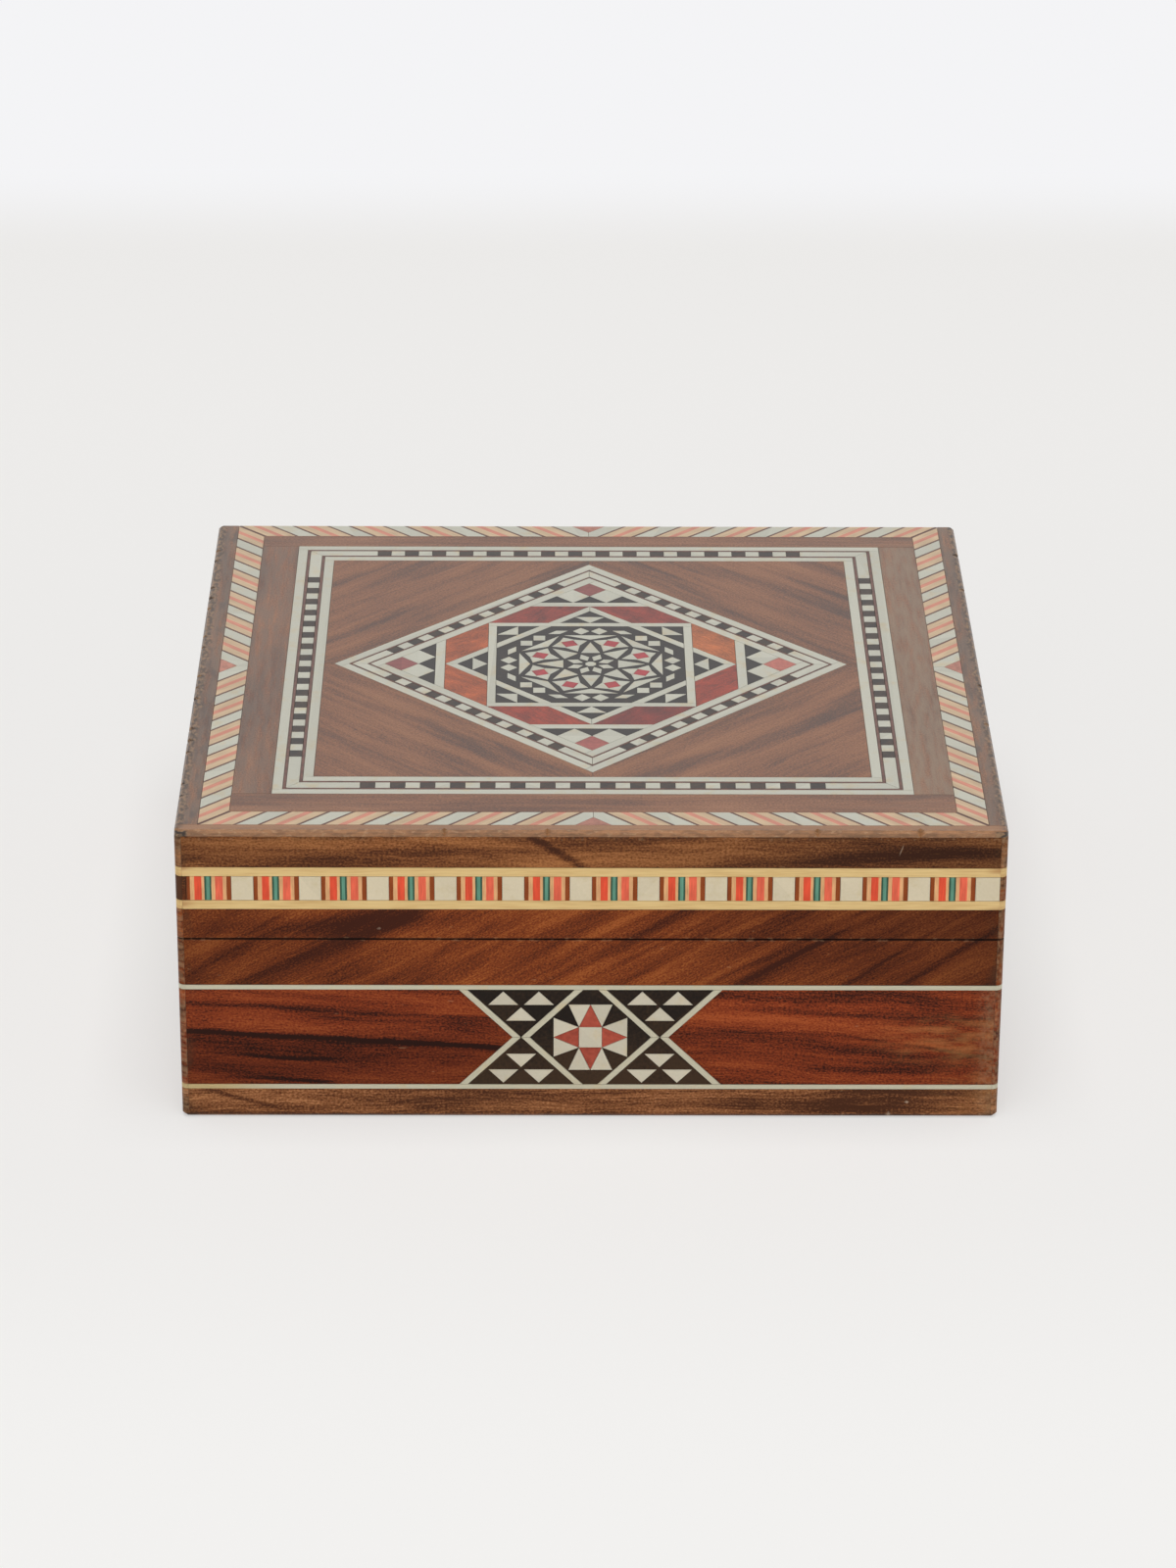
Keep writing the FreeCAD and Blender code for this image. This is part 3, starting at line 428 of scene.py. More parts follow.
def top_walnut(name, turn_low, turn_high, colours, seed):
    """Walnut strips round the lid: the grain follows each strip, and the outer edges are rubbed."""
    graph = Graph(name)
    crosswise = graph.math("MAXIMUM", graph.y > turn_high, graph.y < turn_low)
    along = graph.math("MULTIPLY_ADD", crosswise, graph.x - graph.y, graph.y)
    across = graph.math("MULTIPLY_ADD", crosswise, graph.y - graph.x, graph.x) + graph.z
    outward = abs(graph.x)
    light = grain(graph, along, across, seed, stripes=0.6)
    colour = wood(graph, light, colours)

    greyed = graph.soft(outward, 20.0, HALF_WIDTH) * (1.0 - crosswise * 0.6)
    dusty = graph.noise(along * 0.2, across * 1.2, seed + 70.0, detail=4.0)
    colour = graph.mix(greyed * graph.soft(dusty, 0.3, 0.62) * 0.7, colour, DUST)
    blotches = graph.soft(graph.noise(along * 0.22, across * 0.9, seed + 72.0, detail=5.0), 0.5, 0.66)
    by_side = graph.soft(outward, HALF_WIDTH - 6.0, HALF_WIDTH - 2.0)
    colour = graph.mix(by_side * blotches * 0.6, colour, BLOTCH)
    olive = graph.soft(graph.x, 37.0, 40.0) * graph.soft(graph.x, 45.0, 44.4) * (1.0 - crosswise)
    colour = graph.mix(olive * graph.soft(dusty, 0.1, 0.9) * 0.7, colour, OLIVE)

    side = graph.soft(outward, HALF_WIDTH - 1.4, HALF_WIDTH - 0.2)
    front = graph.soft(graph.y, 1.0 - HALF_DEPTH, 0.1 - HALF_DEPTH)
    edge = graph.math("MAXIMUM", side, front)
    warm = graph.soft(graph.y, 2.1 - HALF_DEPTH, 1.4 - HALF_DEPTH)
    colour = graph.mix(warm * 0.55, colour, WARM_WOOD)
    grime = graph.soft(graph.noise(along * 0.6, across * 1.5, seed + 75.0, detail=5.0), 0.45, 0.6)
    colour = graph.mix(edge * grime * (0.75 - front * 0.4), colour, GRIME)
    rubbed = graph.soft(graph.noise(along * 1.2, across * 2.2, seed + 78.0, detail=5.0), 0.54, 0.66)
    colour = graph.mix(edge * rubbed * 0.5, colour, PALE_WOOD)

    ragged = (graph.noise(along * 0.4, 3.0, seed + 76.0, detail=4.0) - 0.5) * 2.6
    right = graph.soft(graph.x, -1.0, 1.0)
    crust = graph.soft(outward + ragged - right * 0.3, HALF_WIDTH - 1.25, HALF_WIDTH - 0.9)
    crust = crust * (1.0 - crosswise * 0.8) * 0.75
    flaked = graph.soft(graph.z, HEIGHT - 0.04, HEIGHT - 0.2)
    flaked = flaked * graph.soft(outward, HALF_WIDTH - 1.8, HALF_WIDTH - 1.3)
    crumbs = graph.noise(along * 1.2, across * 2.2, seed + 77.0, detail=4.0)
    splintered = graph.mix(graph.soft(crumbs, 0.4, 0.62), SPLINTER_DARK, SPLINTER_PALE)
    colour = graph.mix(graph.math("MAXIMUM", flaked, crust), colour, splintered)
    return graph.surface(colour, 0.34, light, 0.012, **TOP_GLOSS)


def field_walnut():
    """The four corner pieces round the diamond, each with its grain along the diamond's edge."""
    graph = Graph("walnut_fields")
    x = graph.x - ROPE_MIDDLE_X
    y = graph.y - PANEL_MIDDLE_Y
    right = x > 0.0
    back = y > 0.0
    quarter = right * 7.0 + back * 13.0
    along = (abs(x) - abs(y)) * HALF_ROOT_TWO
    across = (abs(x) + abs(y)) * HALF_ROOT_TWO
    light = grain(graph, along, across, quarter, stripes=0.55)
    lines = graph.noise(along * 0.025, across * 0.32, quarter + 4.0, detail=3.0)
    light = light - graph.soft(lines, 0.54, 0.72) * 0.3
    colour = wood(graph, light, CORNER_WALNUT)
    return graph.surface(colour, 0.34, light, 0.012, **TOP_GLOSS)


def bone(name, colour, gloss, variety=0.12):
    """White slips and tiles: each its own shade, yellowed here and there and by the front left foot."""
    graph = Graph(name)
    clouds = graph.noise(graph.x * 0.5, graph.y * 0.5, graph.z * 0.5, detail=3.0)
    fine = graph.noise(graph.x * 3.0, graph.y * 3.0, graph.z * 3.0, detail=3.0)
    colour = graph.mix(graph.soft(clouds, 0.5, 0.8) * 0.7, colour, BONE_AGED)
    foot = graph.soft(graph.x, -36.0, -47.0) * graph.soft(graph.z, 6.0, 5.0)
    colour = graph.mix(foot * 0.8, colour, BONE_FOOT)
    level = 0.98 + (graph.chance - 0.5) * variety + (fine - 0.5) * 0.14
    return graph.surface(graph.shade(colour, level), 0.36, fine, 0.006, **gloss)


def black(name, gloss, share=0.0):
    """Stained wood, worn to brown on some pieces and, on the sides, lower down."""
    graph = Graph(name)
    fine = graph.noise(graph.x * 2.5, graph.y * 2.5, graph.z * 2.5, detail=4.0)
    low = graph.soft(graph.z, 15.0, 5.0)
    worn = graph.soft(graph.chance * 0.4 + low * 0.5 + (fine - 0.5) * 1.2 + share, 0.1, 1.0)
    colour = graph.mix(worn, BLACK, BLACK_WORN)
    return graph.surface(colour, 0.4, fine, 0.008, **gloss)


def edging():
    """Cream strips above and below the band, browned at the corners."""
    graph = Graph("cream_edging")
    on_side = abs(graph.x) > CORE_X
    along = graph.math("MULTIPLY_ADD", on_side, graph.y - graph.x, graph.x)
    fibres = graph.noise(along * 0.25, graph.z * 5.0, on_side * 9.0, detail=4.0)
    patches = graph.noise(along * 0.12, graph.z * 0.8, on_side * 5.0 + 3.0, detail=3.0)
    share = graph.soft(fibres * 0.6 + patches * 0.4, 0.38, 0.68)
    colour = graph.mix(share, CREAM, CREAM_DARK)
    ends = graph.soft(abs(along), HALF_WIDTH - 3.0, HALF_WIDTH - 0.4)
    colour = graph.mix(ends * graph.soft(patches, 0.35, 0.6) * 0.5, colour, STRIPE_BROWN)
    return graph.surface(colour, 0.45, fibres, 0.01, **SIDE_GLOSS)


def hairlines():
    """Thin brown lines between the white ones."""
    graph = Graph("brown_hairlines")
    fine = graph.noise(graph.x, graph.y, 0.0, detail=3.0)
    colour = graph.mix(graph.soft(fine, 0.3, 0.7), HAIRLINE_DARK, HAIRLINE_PALE)
    return graph.surface(colour, 0.36, fine, 0.006, **TOP_GLOSS)


def layers(parts):
    """Colour stops for glued layers of given thicknesses."""
    total = sum(thickness for thickness, colour in parts)
    stops = []
    start = 0.0
    for thickness, colour in parts:
        stops.append((start / total, colour))
        start += thickness
    return stops


BAND_LAYERS = layers([
    (0.5, STRIPE_BROWN), (0.52, YELLOW), (0.86, RED), (0.34, YELLOW), (0.24, GREEN), (0.38, GREEN_LIGHT),
    (0.24, GREEN), (0.46, YELLOW), (0.9, CORAL), (0.46, YELLOW), (0.56, STRIPE_BROWN),
])
SLIP_LAYERS = layers([
    (0.42, ROPE_BROWN), (1.46, ROPE_YELLOW), (1.0, ROPE_CORAL), (1.46, ROPE_YELLOW), (0.42, ROPE_BROWN),
])
CORNER_LAYERS = layers([
    (0.3, ROPE_BROWN), (1.4, ROPE_YELLOW), (1.0, ROPE_CORAL), (1.47, ROPE_YELLOW), (0.45, ROPE_BROWN),
])


def band_stripes():
    """Blocks sawn across a stack of coloured layers, on all four sides of the lid."""
    graph = Graph("band_stripes")
    on_side = abs(graph.x) > CORE_X
    side_run = graph.y * graph.math("SIGN", graph.x) + BAND_START_SIDE
    front_run = BAND_START_FRONT - graph.x * graph.math("SIGN", graph.y)
    run = graph.math("MULTIPLY_ADD", on_side, side_run - front_run, front_run)
    fray = graph.noise(run * 2.0, graph.z * 0.5, on_side) - 0.5
    place = (run % BAND_PITCH) / BAND_STRIPED + fray * 0.012
    colour = graph.ramp(place, BAND_LAYERS, "CONSTANT")
    fibres = graph.noise(run * 6.0, graph.z * 0.4, on_side * 3.0, detail=3.0)
    blotches = graph.noise(run * 1.1, graph.z * 0.35, on_side * 7.0)
    level = 1.0 + (fibres - 0.5) * 0.7 + (blotches - 0.5) * 0.6
    left_end = graph.soft(graph.x, 1.6 - HALF_WIDTH, 1.2 - HALF_WIDTH)
    by_corner = graph.soft(abs(graph.y), HALF_DEPTH - 1.8, HALF_DEPTH - 1.2)
    colour = graph.mix(left_end * by_corner * 0.85, graph.shade(colour, level), BLACK_WORN)
    return graph.surface(colour, 0.45, fibres, 0.01, **SIDE_GLOSS)


def rope_stripes():
    """Slips sawn at a slant from a stack of coloured layers, mirrored about the middle of each side."""
    graph = Graph("rope_stripes")
    x = graph.x - ROPE_MIDDLE_X
    y = graph.y - ROPE_MIDDLE_Y
    slant = (abs(y) - LAID_Y) - (abs(x) - LAID_X)
    run = abs(slant)
    pitch = graph.math("MULTIPLY_ADD", slant > 0.0, ROPE_PITCH_X - ROPE_PITCH_Y, ROPE_PITCH_Y)
    step = (run - ROPE_CORNER) % pitch
    place = (step - ROPE_BONE) / (pitch - ROPE_BONE)
    colour = graph.ramp(place, SLIP_LAYERS, "CONSTANT")
    corner = graph.ramp(run / ROPE_CORNER, CORNER_LAYERS, "CONSTANT")
    colour = graph.mix(run < ROPE_CORNER, colour, corner)
    fibres = graph.noise(run * 5.0, graph.x * 0.3, graph.y * 0.3, detail=3.0)
    blotches = graph.noise(run * 0.7, graph.x * 0.3, graph.y * 0.3)
    level = 0.95 + (fibres - 0.5) * 0.5 + (blotches - 0.5) * 0.5
    return graph.surface(graph.shade(colour, level), 0.36, fibres, 0.008, **TOP_GLOSS)


def sector(graph):
    """Which way from the middle of the star, from 0 to 1 anticlockwise from the right."""
    turn = graph.math("ARCTAN2", graph.y - PANEL_MIDDLE_Y, graph.x - ROPE_MIDDLE_X) / (2 * math.pi)
    return turn % 1.0


# Colours round the star, anticlockwise from the right
LOZENGE_ORANGE = (0.29, 0.06, 0.012)
LOZENGE_BRIGHT = (0.33, 0.088, 0.02)
LOZENGE_RED = (0.23, 0.026, 0.008)
LOZENGE_DARK = (0.19, 0.022, 0.01)
LOZENGE_DEEP = (0.138, 0.014, 0.007)
LOZENGES = (
    LOZENGE_BRIGHT, LOZENGE_DARK, LOZENGE_DARK, LOZENGE_ORANGE,
    LOZENGE_ORANGE, LOZENGE_RED, LOZENGE_DEEP, LOZENGE_RED,
)
TIP_RIGHT = (0.41, 0.125, 0.095)
TIP_BACK = (0.25, 0.068, 0.058)
TIP_LEFT = (0.225, 0.065, 0.06)
TIP_FRONT = (0.33, 0.09, 0.075)
TIPS = ((0.0, TIP_RIGHT), (0.125, TIP_BACK), (0.375, TIP_LEFT), (0.625, TIP_FRONT), (0.875, TIP_RIGHT))
ROSETTE_REACH = 15.0


def lozenges():
    """Orange and dark red woods in the eight arms of the star."""
    graph = Graph("star_lozenges")
    stops = [(index / len(LOZENGES), colour) for index, colour in enumerate(LOZENGES)]
    colour = graph.ramp(sector(graph), stops, "CONSTANT")
    x = abs(graph.x - ROPE_MIDDLE_X)
    y = abs(graph.y - PANEL_MIDDLE_Y)
    across = (x + y) * HALF_ROOT_TWO
    along = (x - y) * HALF_ROOT_TWO
    light = grain(graph, along, across, sector(graph) * 40.0)
    return graph.surface(graph.shade(colour, 0.55 + light * 0.9), 0.34, light, 0.008, **TOP_GLOSS)


def star_red():
    """Coral tiles at the tips of the diamond and crimson ones in the rosette."""
    graph = Graph("star_red")
    x = graph.x - ROPE_MIDDLE_X
    y = graph.y - PANEL_MIDDLE_Y
    radius = graph.math("SQRT", x * x + y * y)
    tips = graph.ramp(sector(graph), TIPS, "CONSTANT")
    colour = graph.mix(radius > ROSETTE_REACH, ROSETTE_RED, tips)
    fine = graph.noise(graph.x * 1.5, graph.y * 1.5, 0.0, detail=4.0)
    level = 0.8 + (fine - 0.5) * 0.8 + graph.chance * 0.3
    return graph.surface(graph.shade(colour, level), 0.36, fine, 0.008, **TOP_GLOSS)


def dyed_red(name, colour, gloss):
    """Red tiles, each of its own shade."""
    graph = Graph(name)
    fine = graph.noise(graph.x * 1.5, graph.y * 1.5, graph.z * 1.5, detail=4.0)
    level = 0.8 + (fine - 0.5) * 1.1 + graph.chance * 0.3
    return graph.surface(graph.shade(colour, level), 0.42, fine, 0.008, **gloss)


def core_wood(name, along_x):
    """Bare softwood, seen on the rims and underneath. The faces under the veneer are dark with glue."""
    graph = Graph(name)
    along, across = (graph.x, graph.y) if along_x else (graph.y, graph.x)
    light = grain(graph, along, across + graph.z * 1.7, 31.0)
    colour = wood(graph, light, SOFTWOOD)
    for distance, face in ((abs(graph.x), CORE_X), (abs(graph.y), CORE_Y), (graph.z, CORE_TOP)):
        colour = graph.mix(graph.soft(distance, face - 0.16, face - 0.1), colour, GLUE)
    return graph.surface(colour, 0.7, light, 0.02, Specular_IOR_Level=0.25)


def brass():
    """Brushed brass, tarnished in patches."""
    graph = Graph("brass")
    tarnish = graph.noise(graph.x * 0.9, graph.y * 0.9, graph.z * 0.9, detail=5.0)
    brushed = graph.noise(graph.x * 0.8, graph.y * 9.0, graph.z * 9.0, detail=2.0)
    colour = graph.mix(graph.soft(tarnish, 0.35, 0.7), BRASS, BRASS_TARNISHED)
    roughness = 0.26 + graph.soft(tarnish, 0.3, 0.75) * 0.26
    return graph.surface(colour, roughness, brushed, 0.004, Metallic=1.0)


def velvet():
    """Dark red velvet, with painted sheen in patches where its nap lies this way and that."""
    graph = Graph("red_velvet")
    nap = graph.noise(graph.x * 0.09, graph.y * 0.09, graph.z * 0.09, detail=3.0, distortion=0.8)
    pile = graph.noise(graph.x * 6.0, graph.y * 6.0, graph.z * 6.0, detail=2.0)
    # Painted sheen: paler velvet in patches where the nap would catch the light.
    colour = graph.mix(graph.soft(nap, 0.35, 0.68), VELVET_DARK, VELVET_PAINTED_SHEEN)
    colour = graph.shade(colour, 0.7 + pile * 0.6)
    sheen = {"Sheen_Weight": 0.55, "Sheen_Roughness": 0.4, "Sheen_Tint": VELVET_SHEEN}
    return graph.surface(colour, 0.85, pile, 0.09, Specular_IOR_Level=0.1, **sheen)


# Materials of the solids

top_bone = bone("bone_top", BONE_TOP, TOP_GLOSS)
string_bone = bone("bone_stringing", BONE_STRINGING, SIDE_GLOSS, 0.04)
motif_bone = bone("bone_motif", BONE_MOTIF, SIDE_GLOSS)
band_bone = bone("bone_band", BONE_BAND, SIDE_GLOSS, 0.06)
core_long = core_wood("core_wood_long", True)
core_deep = core_wood("core_wood_deep", False)
metal = brass()
finishes = {
    "base_stringing": string_bone,
    "base_motif_lines": string_bone,
    "base_motif_bone": motif_bone,
    "base_motif_black": black("black_sides", SIDE_GLOSS, 0.15),
    "base_motif_red": dyed_red("motif_red", MOTIF_RED, SIDE_GLOSS),
    "lid_band_edging": edging(),
    "lid_band_bone_blocks": band_bone,
    "lid_band_striped_blocks": band_stripes(),
    "lid_border": top_walnut("walnut_border", BORDER_LOW, BORDER_HIGH, BORDER_WALNUT, 3.0),
    "lid_inner_border": top_walnut("walnut_inner_border", FRAME_LOW, FRAME_HIGH, INNER_WALNUT, 17.0),
    "lid_rope_bone_slips": top_bone,
    "lid_rope_striped_slips": rope_stripes(),
    "lid_rope_triangles": dyed_red("rope_triangles", ROPE_RED, TOP_GLOSS),
    "lid_frame_lines": top_bone,
    "lid_diamond_lines": top_bone,
    "lid_star_lines": top_bone,
    "lid_star_bone": top_bone,
    "lid_checks_bone": top_bone,
    "lid_hairlines": hairlines(),
    "lid_field_veneer": field_walnut(),
    "lid_star_lozenges": lozenges(),
    "lid_star_red": star_red(),
    "lid_star_black": black("black_star", TOP_GLOSS, -0.1),
    "lid_checks_black": black("black_checks", TOP_GLOSS, 0.3),
}
SIDE_SEEDS = {"front": 1.0, "back": 210.0, "left": 420.0, "right": 630.0}
for side, seed in SIDE_SEEDS.items():
    along_x = side in ("front", "back")
    walnut = side_walnut(side, along_x, seed)
    for body in ("base", "lid"):
        finishes[body + "_" + side + "_veneer"] = walnut
        finishes[body + "_" + side + "_wall"] = core_long if along_x else core_deep
finishes["base_bottom_panel"] = core_long
finishes["lid_top_panel"] = core_long
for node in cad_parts:
    if node.startswith("hinge_"):
        finishes[node] = metal
for node, material in finishes.items():
    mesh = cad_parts[node].data
    mesh.materials.clear()
    mesh.materials.append(material)


# Velvet lining, in millimetres

cloth = velvet()
PAD_COLUMNS = 64
PAD_ROWS = 60
PAD_MARGIN = 0.05
PAD_ROLL = 1.3
RIBBON_THICK = 0.62
RIBBON_BEND = 1.2
RIBBON_STEP = 2.0
BEND_STEPS = 4
GLUE_GAP = 0.03


def new_piece(name, mesh, body, material):
    """A piece that rides on a body."""
    piece = bpy.data.objects.new(name, mesh)
    bpy.context.scene.collection.objects.link(piece)
    mesh.materials.append(material)
    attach(piece, body)
    return piece


def finished_mesh(work, name):
    """The mesh that was worked on, with its faces turned outward."""
    bmesh.ops.recalc_face_normals(work, faces=work.faces)
    mesh = bpy.data.meshes.new(name)
    work.to_mesh(mesh)
    work.free()
    return mesh


def smooth(mesh):
    """Shades all faces smooth."""
    for face in mesh.polygons:
        face.use_smooth = True


def pad(name, node, body, side):
    """A thin padded panel, rolled at its edges and flat where it is glued. side is the way it faces."""
    low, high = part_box(node)
    low, high = low / MM, high / MM
    glued, proud = (low.z, high.z) if side > 0 else (high.z, low.z)
    length = high.x - low.x - 2 * PAD_MARGIN
    depth = high.y - low.y - 2 * PAD_MARGIN
    work = bmesh.new()
    grid = []
    for row in range(PAD_ROWS + 1):
        line = []
        for column in range(PAD_COLUMNS + 1):
            x = low.x + PAD_MARGIN + length * column / PAD_COLUMNS
            y = low.y + PAD_MARGIN + depth * row / PAD_ROWS
            inside = min(x - low.x, high.x - x, y - low.y, high.y - y)
            rise = math.sqrt(max(0.0, 1 - (1 - min(inside / PAD_ROLL, 1.0)) ** 2))
            puff = 0.86 + 0.14 * noise.noise(Vector((x * 0.06, y * 0.06, glued)))
            line.append(work.verts.new((x * MM, y * MM, (glued + (proud - glued) * rise * puff) * MM)))
        grid.append(line)
    for near, far in zip(grid, grid[1:]):
        for column in range(PAD_COLUMNS):
            corners = [near[column], near[column + 1], far[column + 1], far[column]]
            work.faces.new(corners if side > 0 else corners[::-1])
    rim = grid[0][:-1] + [line[-1] for line in grid[:-1]]
    rim += grid[-1][:0:-1] + [line[0] for line in grid[:0:-1]]
    foot = [work.verts.new((vertex.co.x, vertex.co.y, glued * MM)) for vertex in rim]
    for index in range(len(rim)):
        after = (index + 1) % len(rim)
        work.faces.new((rim[index], foot[index], foot[after], rim[after]))
    work.faces.new(foot)
    mesh = finished_mesh(work, name)
    smooth(mesh)
    piece = new_piece(name, mesh, body, cloth)
    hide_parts(node)


def way_round(half_x, half_y):
    """Places along the walls, anticlockwise with rounded corners, each with the way outward."""
    bends = []
    for turn, (corner_x, corner_y) in enumerate(((1, 1), (-1, 1), (-1, -1), (1, -1))):
        middle = Vector((corner_x * (half_x - RIBBON_BEND), corner_y * (half_y - RIBBON_BEND)))
        for step in range(BEND_STEPS + 1):
            angle = math.radians(90 * (turn + step / BEND_STEPS))
            outward = Vector((math.cos(angle), math.sin(angle)))
            bends.append((middle + outward * RIBBON_BEND, outward))
    stations = []
    for (start, outward), (end, outward_after) in zip(bends, bends[1:] + bends[:1]):
        count = max(1, round((end - start).length / RIBBON_STEP))
        for step in range(count):
            share = step / count
            stations.append((start.lerp(end, share), outward.lerp(outward_after, share).normalized()))
    return stations


def ribbon(name, node, body, free_side):
    """A strip of velvet glued round the inside of the walls, with a rolled free edge."""
    low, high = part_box(node)
    low, high = low / MM, high / MM
    free, held = (high.z, low.z) if free_side > 0 else (low.z, high.z)
    work = bmesh.new()
    rings = []
    for spot, outward in way_round(high.x, high.y):
        ripple = 0.06 * noise.noise(Vector((spot.x * 0.12, spot.y * 0.12, 3.0)))
        inner = RIBBON_THICK * (0.88 + ripple)
        tuck = (held - free) * 0.012
        profile = [(GLUE_GAP, held), (GLUE_GAP, free + tuck * 2), (0.14, free + tuck * 0.4)]
        profile += [(inner * 0.55, free), (inner * 0.9, free + tuck), (inner, free + tuck * 3)]
        for share in (0.3, 0.6, 0.85):
            swell = 0.05 * noise.noise(Vector((spot.x * 0.2, spot.y * 0.2, share * 5)))
            profile.append((inner + swell, free + (held - free) * share))
        profile.append((inner, held))
        ring = []
        for inward, z in profile:
            x, y = spot - outward * inward
            ring.append(work.verts.new((x * MM, y * MM, z * MM)))
        rings.append(ring)
    for here, there in zip(rings, rings[1:] + rings[:1]):
        for index in range(len(here)):
            after = (index + 1) % len(here)
            work.faces.new((here[index], there[index], there[after], here[after]))
    mesh = finished_mesh(work, name)
    smooth(mesh)
    piece = new_piece(name, mesh, body, cloth)
    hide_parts(node)


pad("base_floor_velvet", "base_floor_lining", "base", 1)
pad("lid_ceiling_velvet", "lid_ceiling_lining", "lid", -1)
ribbon("base_wall_velvet", "base_wall_lining", "base", 1)
ribbon("lid_wall_velvet", "lid_wall_lining", "lid", -1)


# Hinge screws, in millimetres

HEAD_RADIUS = 0.85
HEAD_PROUD = 0.04
SLOT_HALF = 0.11
SCREW_SPREAD = 9.0
SCREW_SETBACK = 1.32
HEAD_SUNK = 0.06
RIM_STEPS = 14

# Rings of a head from its foot up: share of the radius, and share of the rise
HEAD_RINGS = ((1.0, -0.2), (1.0, 0.1), (0.86, 0.75), (0.6, 1.0))


def half_head(work, spot, spin, half, side):
    """One domed half of a slotted head, on one side of its slot."""
    slot_edge = half * SLOT_HALF
    reach = math.acos(SLOT_HALF / HEAD_RADIUS)
    rim = []
    for step in range(RIM_STEPS + 1):
        angle = half * (math.pi / 2) - reach + 2 * reach * step / RIM_STEPS
        rim.append((HEAD_RADIUS * math.cos(angle), HEAD_RADIUS * math.sin(angle)))
    rings = []
    for inset, rise in HEAD_RINGS:
        level = rise * HEAD_PROUD * -side
        ring = []
        for x, y in rim:
            place = Vector((x * inset, slot_edge + (y - slot_edge) * inset, level))
            ring.append(work.verts.new((spot + spin @ place) * MM))
        rings.append(ring)
    for lower, upper in zip(rings, rings[1:]):
        for index in range(len(rim)):
            after = (index + 1) % len(rim)
            work.faces.new((lower[index], lower[after], upper[after], upper[index]))
    work.faces.new(rings[-1])
    work.faces.new(rings[0][::-1])


def screw_heads(name, body, leaves, side, turns):
    """Two slotted heads in each leaf. side is 1 in the lid and -1 in the base, and turns is for the slots."""
    work = bmesh.new()
    for leaf in leaves:
        low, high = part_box(leaf)
        middle = (low.x + high.x) / 2 / MM
        face = SEAM + side * HEAD_SUNK
        for end in (-1, 1):
            spot = Vector((middle + end * SCREW_SPREAD / 2, low.y / MM + SCREW_SETBACK, face))
            spin = Matrix.Rotation(math.radians(turns.pop()), 3, "Z")
            for half in (-1, 1):
                half_head(work, spot, spin, half, side)
    new_piece(name, finished_mesh(work, name), body, metal)


BASE_LEAVES = ["hinge_left_base_leaf", "hinge_right_base_leaf"]
LID_LEAVES = ["hinge_left_lid_leaf", "hinge_right_lid_leaf"]
screw_heads("base_hinge_screws", "base", BASE_LEAVES, -1, [15, 80, 140, 50])
screw_heads("lid_hinge_screws", "lid", LID_LEAVES, 1, [100, 35, 70, 160])


# Floor, light and camera, in metres and degrees. Heights on the wall are those of directions, from 0 to 1

BACKGROUND = (0.905, 0.905, 0.92)
WALL_LIGHT = 2.4
WALL_TOP = 0.14
CEILING_LIGHT = 0.05
CEILING_START = 0.32
ROOM_WHITE = (1.0, 0.995, 0.985, 1)
LAMP_WHITE = (1.0, 0.99, 0.975)
LAMP_AIM = Vector((0, 0, 0.02))
TABLE_NEAR = (0.889, 0.889, 0.89)
TABLE_FAR = (0.955, 0.952, 0.95)
UNSHADED_NEAR = (0.89, 0.882, 0.866)
UNSHADED_FAR = (0.838, 0.828, 0.813)
SHADOW_LIFT = 0.6
FLOOR_REACH = 1.6
CAMERA_TURN = (0.5106, 25.1815, 0.3126)
CAMERA_PLACE = (-0.00549, -0.61246, 0.31064)
CAMERA_LENS = 120.19
SENSOR_WIDTH = 36.0


def make_floor():
    """A pale table top that runs out into the white of the room. What is seen of its shadow is softened."""
    graph = Graph("floor")
    away = graph.math("MAXIMUM", abs(graph.x), abs(graph.y))
    colour = graph.mix(graph.soft(graph.y, 20.0, 220.0), TABLE_NEAR, TABLE_FAR)
    matte = graph.add("BsdfDiffuse", {"Color": colour})
    unshaded = graph.mix(graph.soft(graph.y, -60.0, -130.0), UNSHADED_FAR, UNSHADED_NEAR)
    haze = graph.add("Emission", {"Color": unshaded, "Strength": 1.0})
    path = graph.add("LightPath", {})
    sight = graph.math("MAXIMUM", path.outputs["Is Camera Ray"], path.outputs["Is Glossy Ray"])
    sight = graph.math("MAXIMUM", sight, path.outputs["Is Transmission Ray"])
    table = graph.add("MixShader", {0: sight * SHADOW_LIFT, 1: matte.outputs[0], 2: haze.outputs[0]})
    room = graph.add("Emission", {"Color": BACKGROUND, "Strength": 1.0})
    fade = graph.soft(away, 268.0, 316.0)
    mixed = graph.add("MixShader", {0: fade, 1: table.outputs[0], 2: room.outputs[0]})
    graph.add("OutputMaterial", {"Surface": mixed.outputs[0]})
    mesh = bpy.data.meshes.new("floor")
    signs = ((-1, -1), (1, -1), (1, 1), (-1, 1))
    corners = [(x * FLOOR_REACH, y * FLOOR_REACH, 0) for x, y in signs]
    mesh.from_pydata(corners, [], [(0, 1, 2, 3)])
    mesh.materials.append(graph.material)
    floor = bpy.data.objects.new("floor", mesh)
    bpy.context.scene.collection.objects.link(floor)


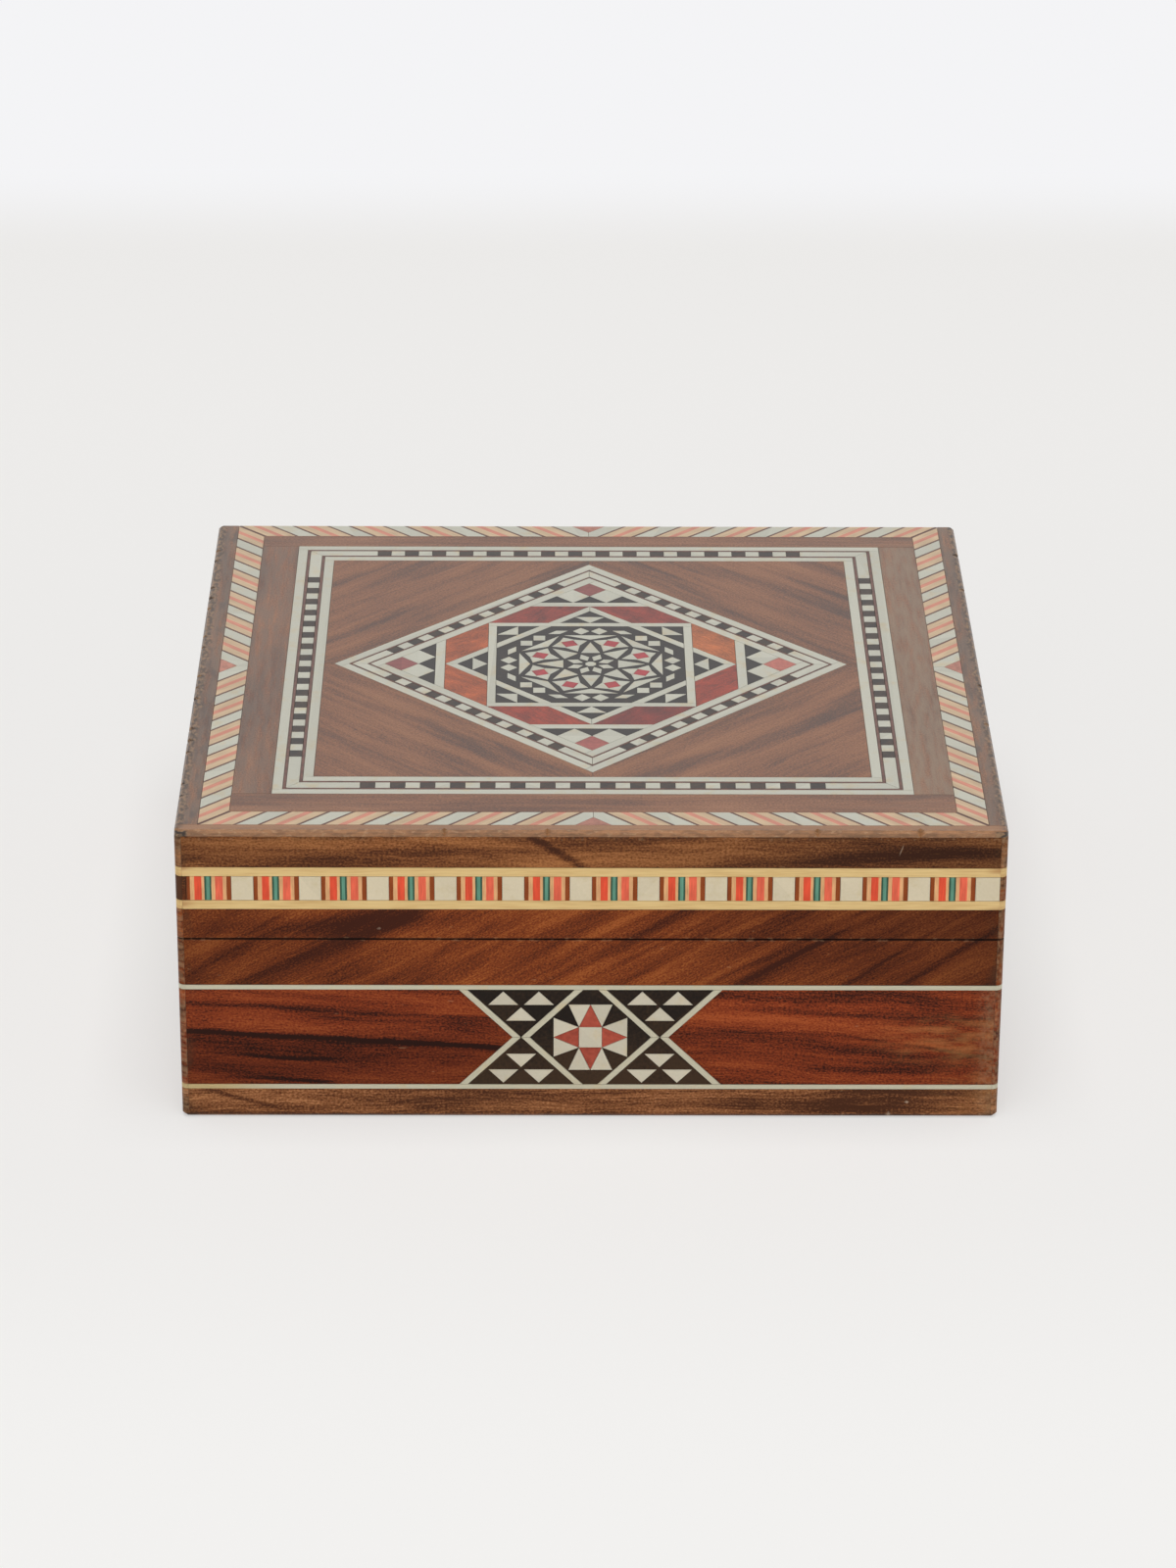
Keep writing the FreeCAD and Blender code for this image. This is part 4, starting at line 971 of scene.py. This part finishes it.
def make_world():
    """Pale walls all round that light the sides of the box, and an even white room behind it."""
    world = bpy.data.worlds.new("studio")
    world.use_nodes = True
    tree = world.node_tree
    tree.nodes.clear()
    direction = tree.nodes.new("ShaderNodeTexCoord")
    parts = tree.nodes.new("ShaderNodeSeparateXYZ")
    tree.links.new(direction.outputs["Generated"], parts.inputs[0])
    walls = tree.nodes.new("ShaderNodeMapRange")
    walls.interpolation_type = "SMOOTHSTEP"
    tree.links.new(parts.outputs["Z"], walls.inputs["Value"])
    walls.inputs["From Min"].default_value = WALL_TOP
    walls.inputs["From Max"].default_value = CEILING_START
    walls.inputs["To Min"].default_value = WALL_LIGHT
    walls.inputs["To Max"].default_value = CEILING_LIGHT
    light = tree.nodes.new("ShaderNodeBackground")
    light.inputs["Color"].default_value = ROOM_WHITE
    tree.links.new(walls.outputs[0], light.inputs["Strength"])
    seen = tree.nodes.new("ShaderNodeBackground")
    seen.inputs["Color"].default_value = BACKGROUND + (1,)
    path = tree.nodes.new("ShaderNodeLightPath")
    sight = path.outputs["Is Camera Ray"]
    for kind in ("Is Glossy Ray", "Is Transmission Ray"):
        either = tree.nodes.new("ShaderNodeMath")
        either.operation = "MAXIMUM"
        tree.links.new(sight, either.inputs[0])
        tree.links.new(path.outputs[kind], either.inputs[1])
        sight = either.outputs[0]
    mixed = tree.nodes.new("ShaderNodeMixShader")
    tree.links.new(sight, mixed.inputs[0])
    tree.links.new(light.outputs[0], mixed.inputs[1])
    tree.links.new(seen.outputs[0], mixed.inputs[2])
    output = tree.nodes.new("ShaderNodeOutputWorld")
    tree.links.new(mixed.outputs[0], output.inputs[0])
    bpy.context.scene.world = world


def add_softbox(name, place, size, power):
    """A square lamp that faces the box."""
    lamp = bpy.data.lights.new(name, "AREA")
    lamp.size = size
    lamp.energy = power
    lamp.color = LAMP_WHITE
    box = bpy.data.objects.new(name, lamp)
    box.location = place
    box.rotation_euler = (LAMP_AIM - Vector(place)).to_track_quat("-Z", "Y").to_euler()
    box.visible_glossy = False
    bpy.context.scene.collection.objects.link(box)


def make_camera():
    """The photograph's view, fitted to the corners of the box. The turns are yaw, pitch and roll."""
    yaw, pitch, roll = (math.radians(angle) for angle in CAMERA_TURN)
    forward = Vector((math.sin(yaw) * math.cos(pitch), math.cos(yaw) * math.cos(pitch), -math.sin(pitch)))
    level = Vector((math.cos(yaw), -math.sin(yaw), 0))
    upright = level.cross(forward)
    right = level * math.cos(roll) + upright * math.sin(roll)
    up = upright * math.cos(roll) - level * math.sin(roll)
    data = bpy.data.cameras.new("camera")
    data.sensor_width = SENSOR_WIDTH
    data.lens = CAMERA_LENS
    camera = bpy.data.objects.new("camera", data)
    turn = Matrix((right, up, -forward)).transposed().to_4x4()
    camera.matrix_world = Matrix.Translation(CAMERA_PLACE) @ turn
    bpy.context.scene.collection.objects.link(camera)
    bpy.context.scene.camera = camera


make_floor()
make_world()
add_softbox("overhead", (0.0, -0.2, 1.6), 1.0, 19.5)
add_softbox("front", (-0.1, -1.3, 1.0), 0.9, 6.2)
make_camera()
bpy.context.scene.view_settings.view_transform = "Standard"
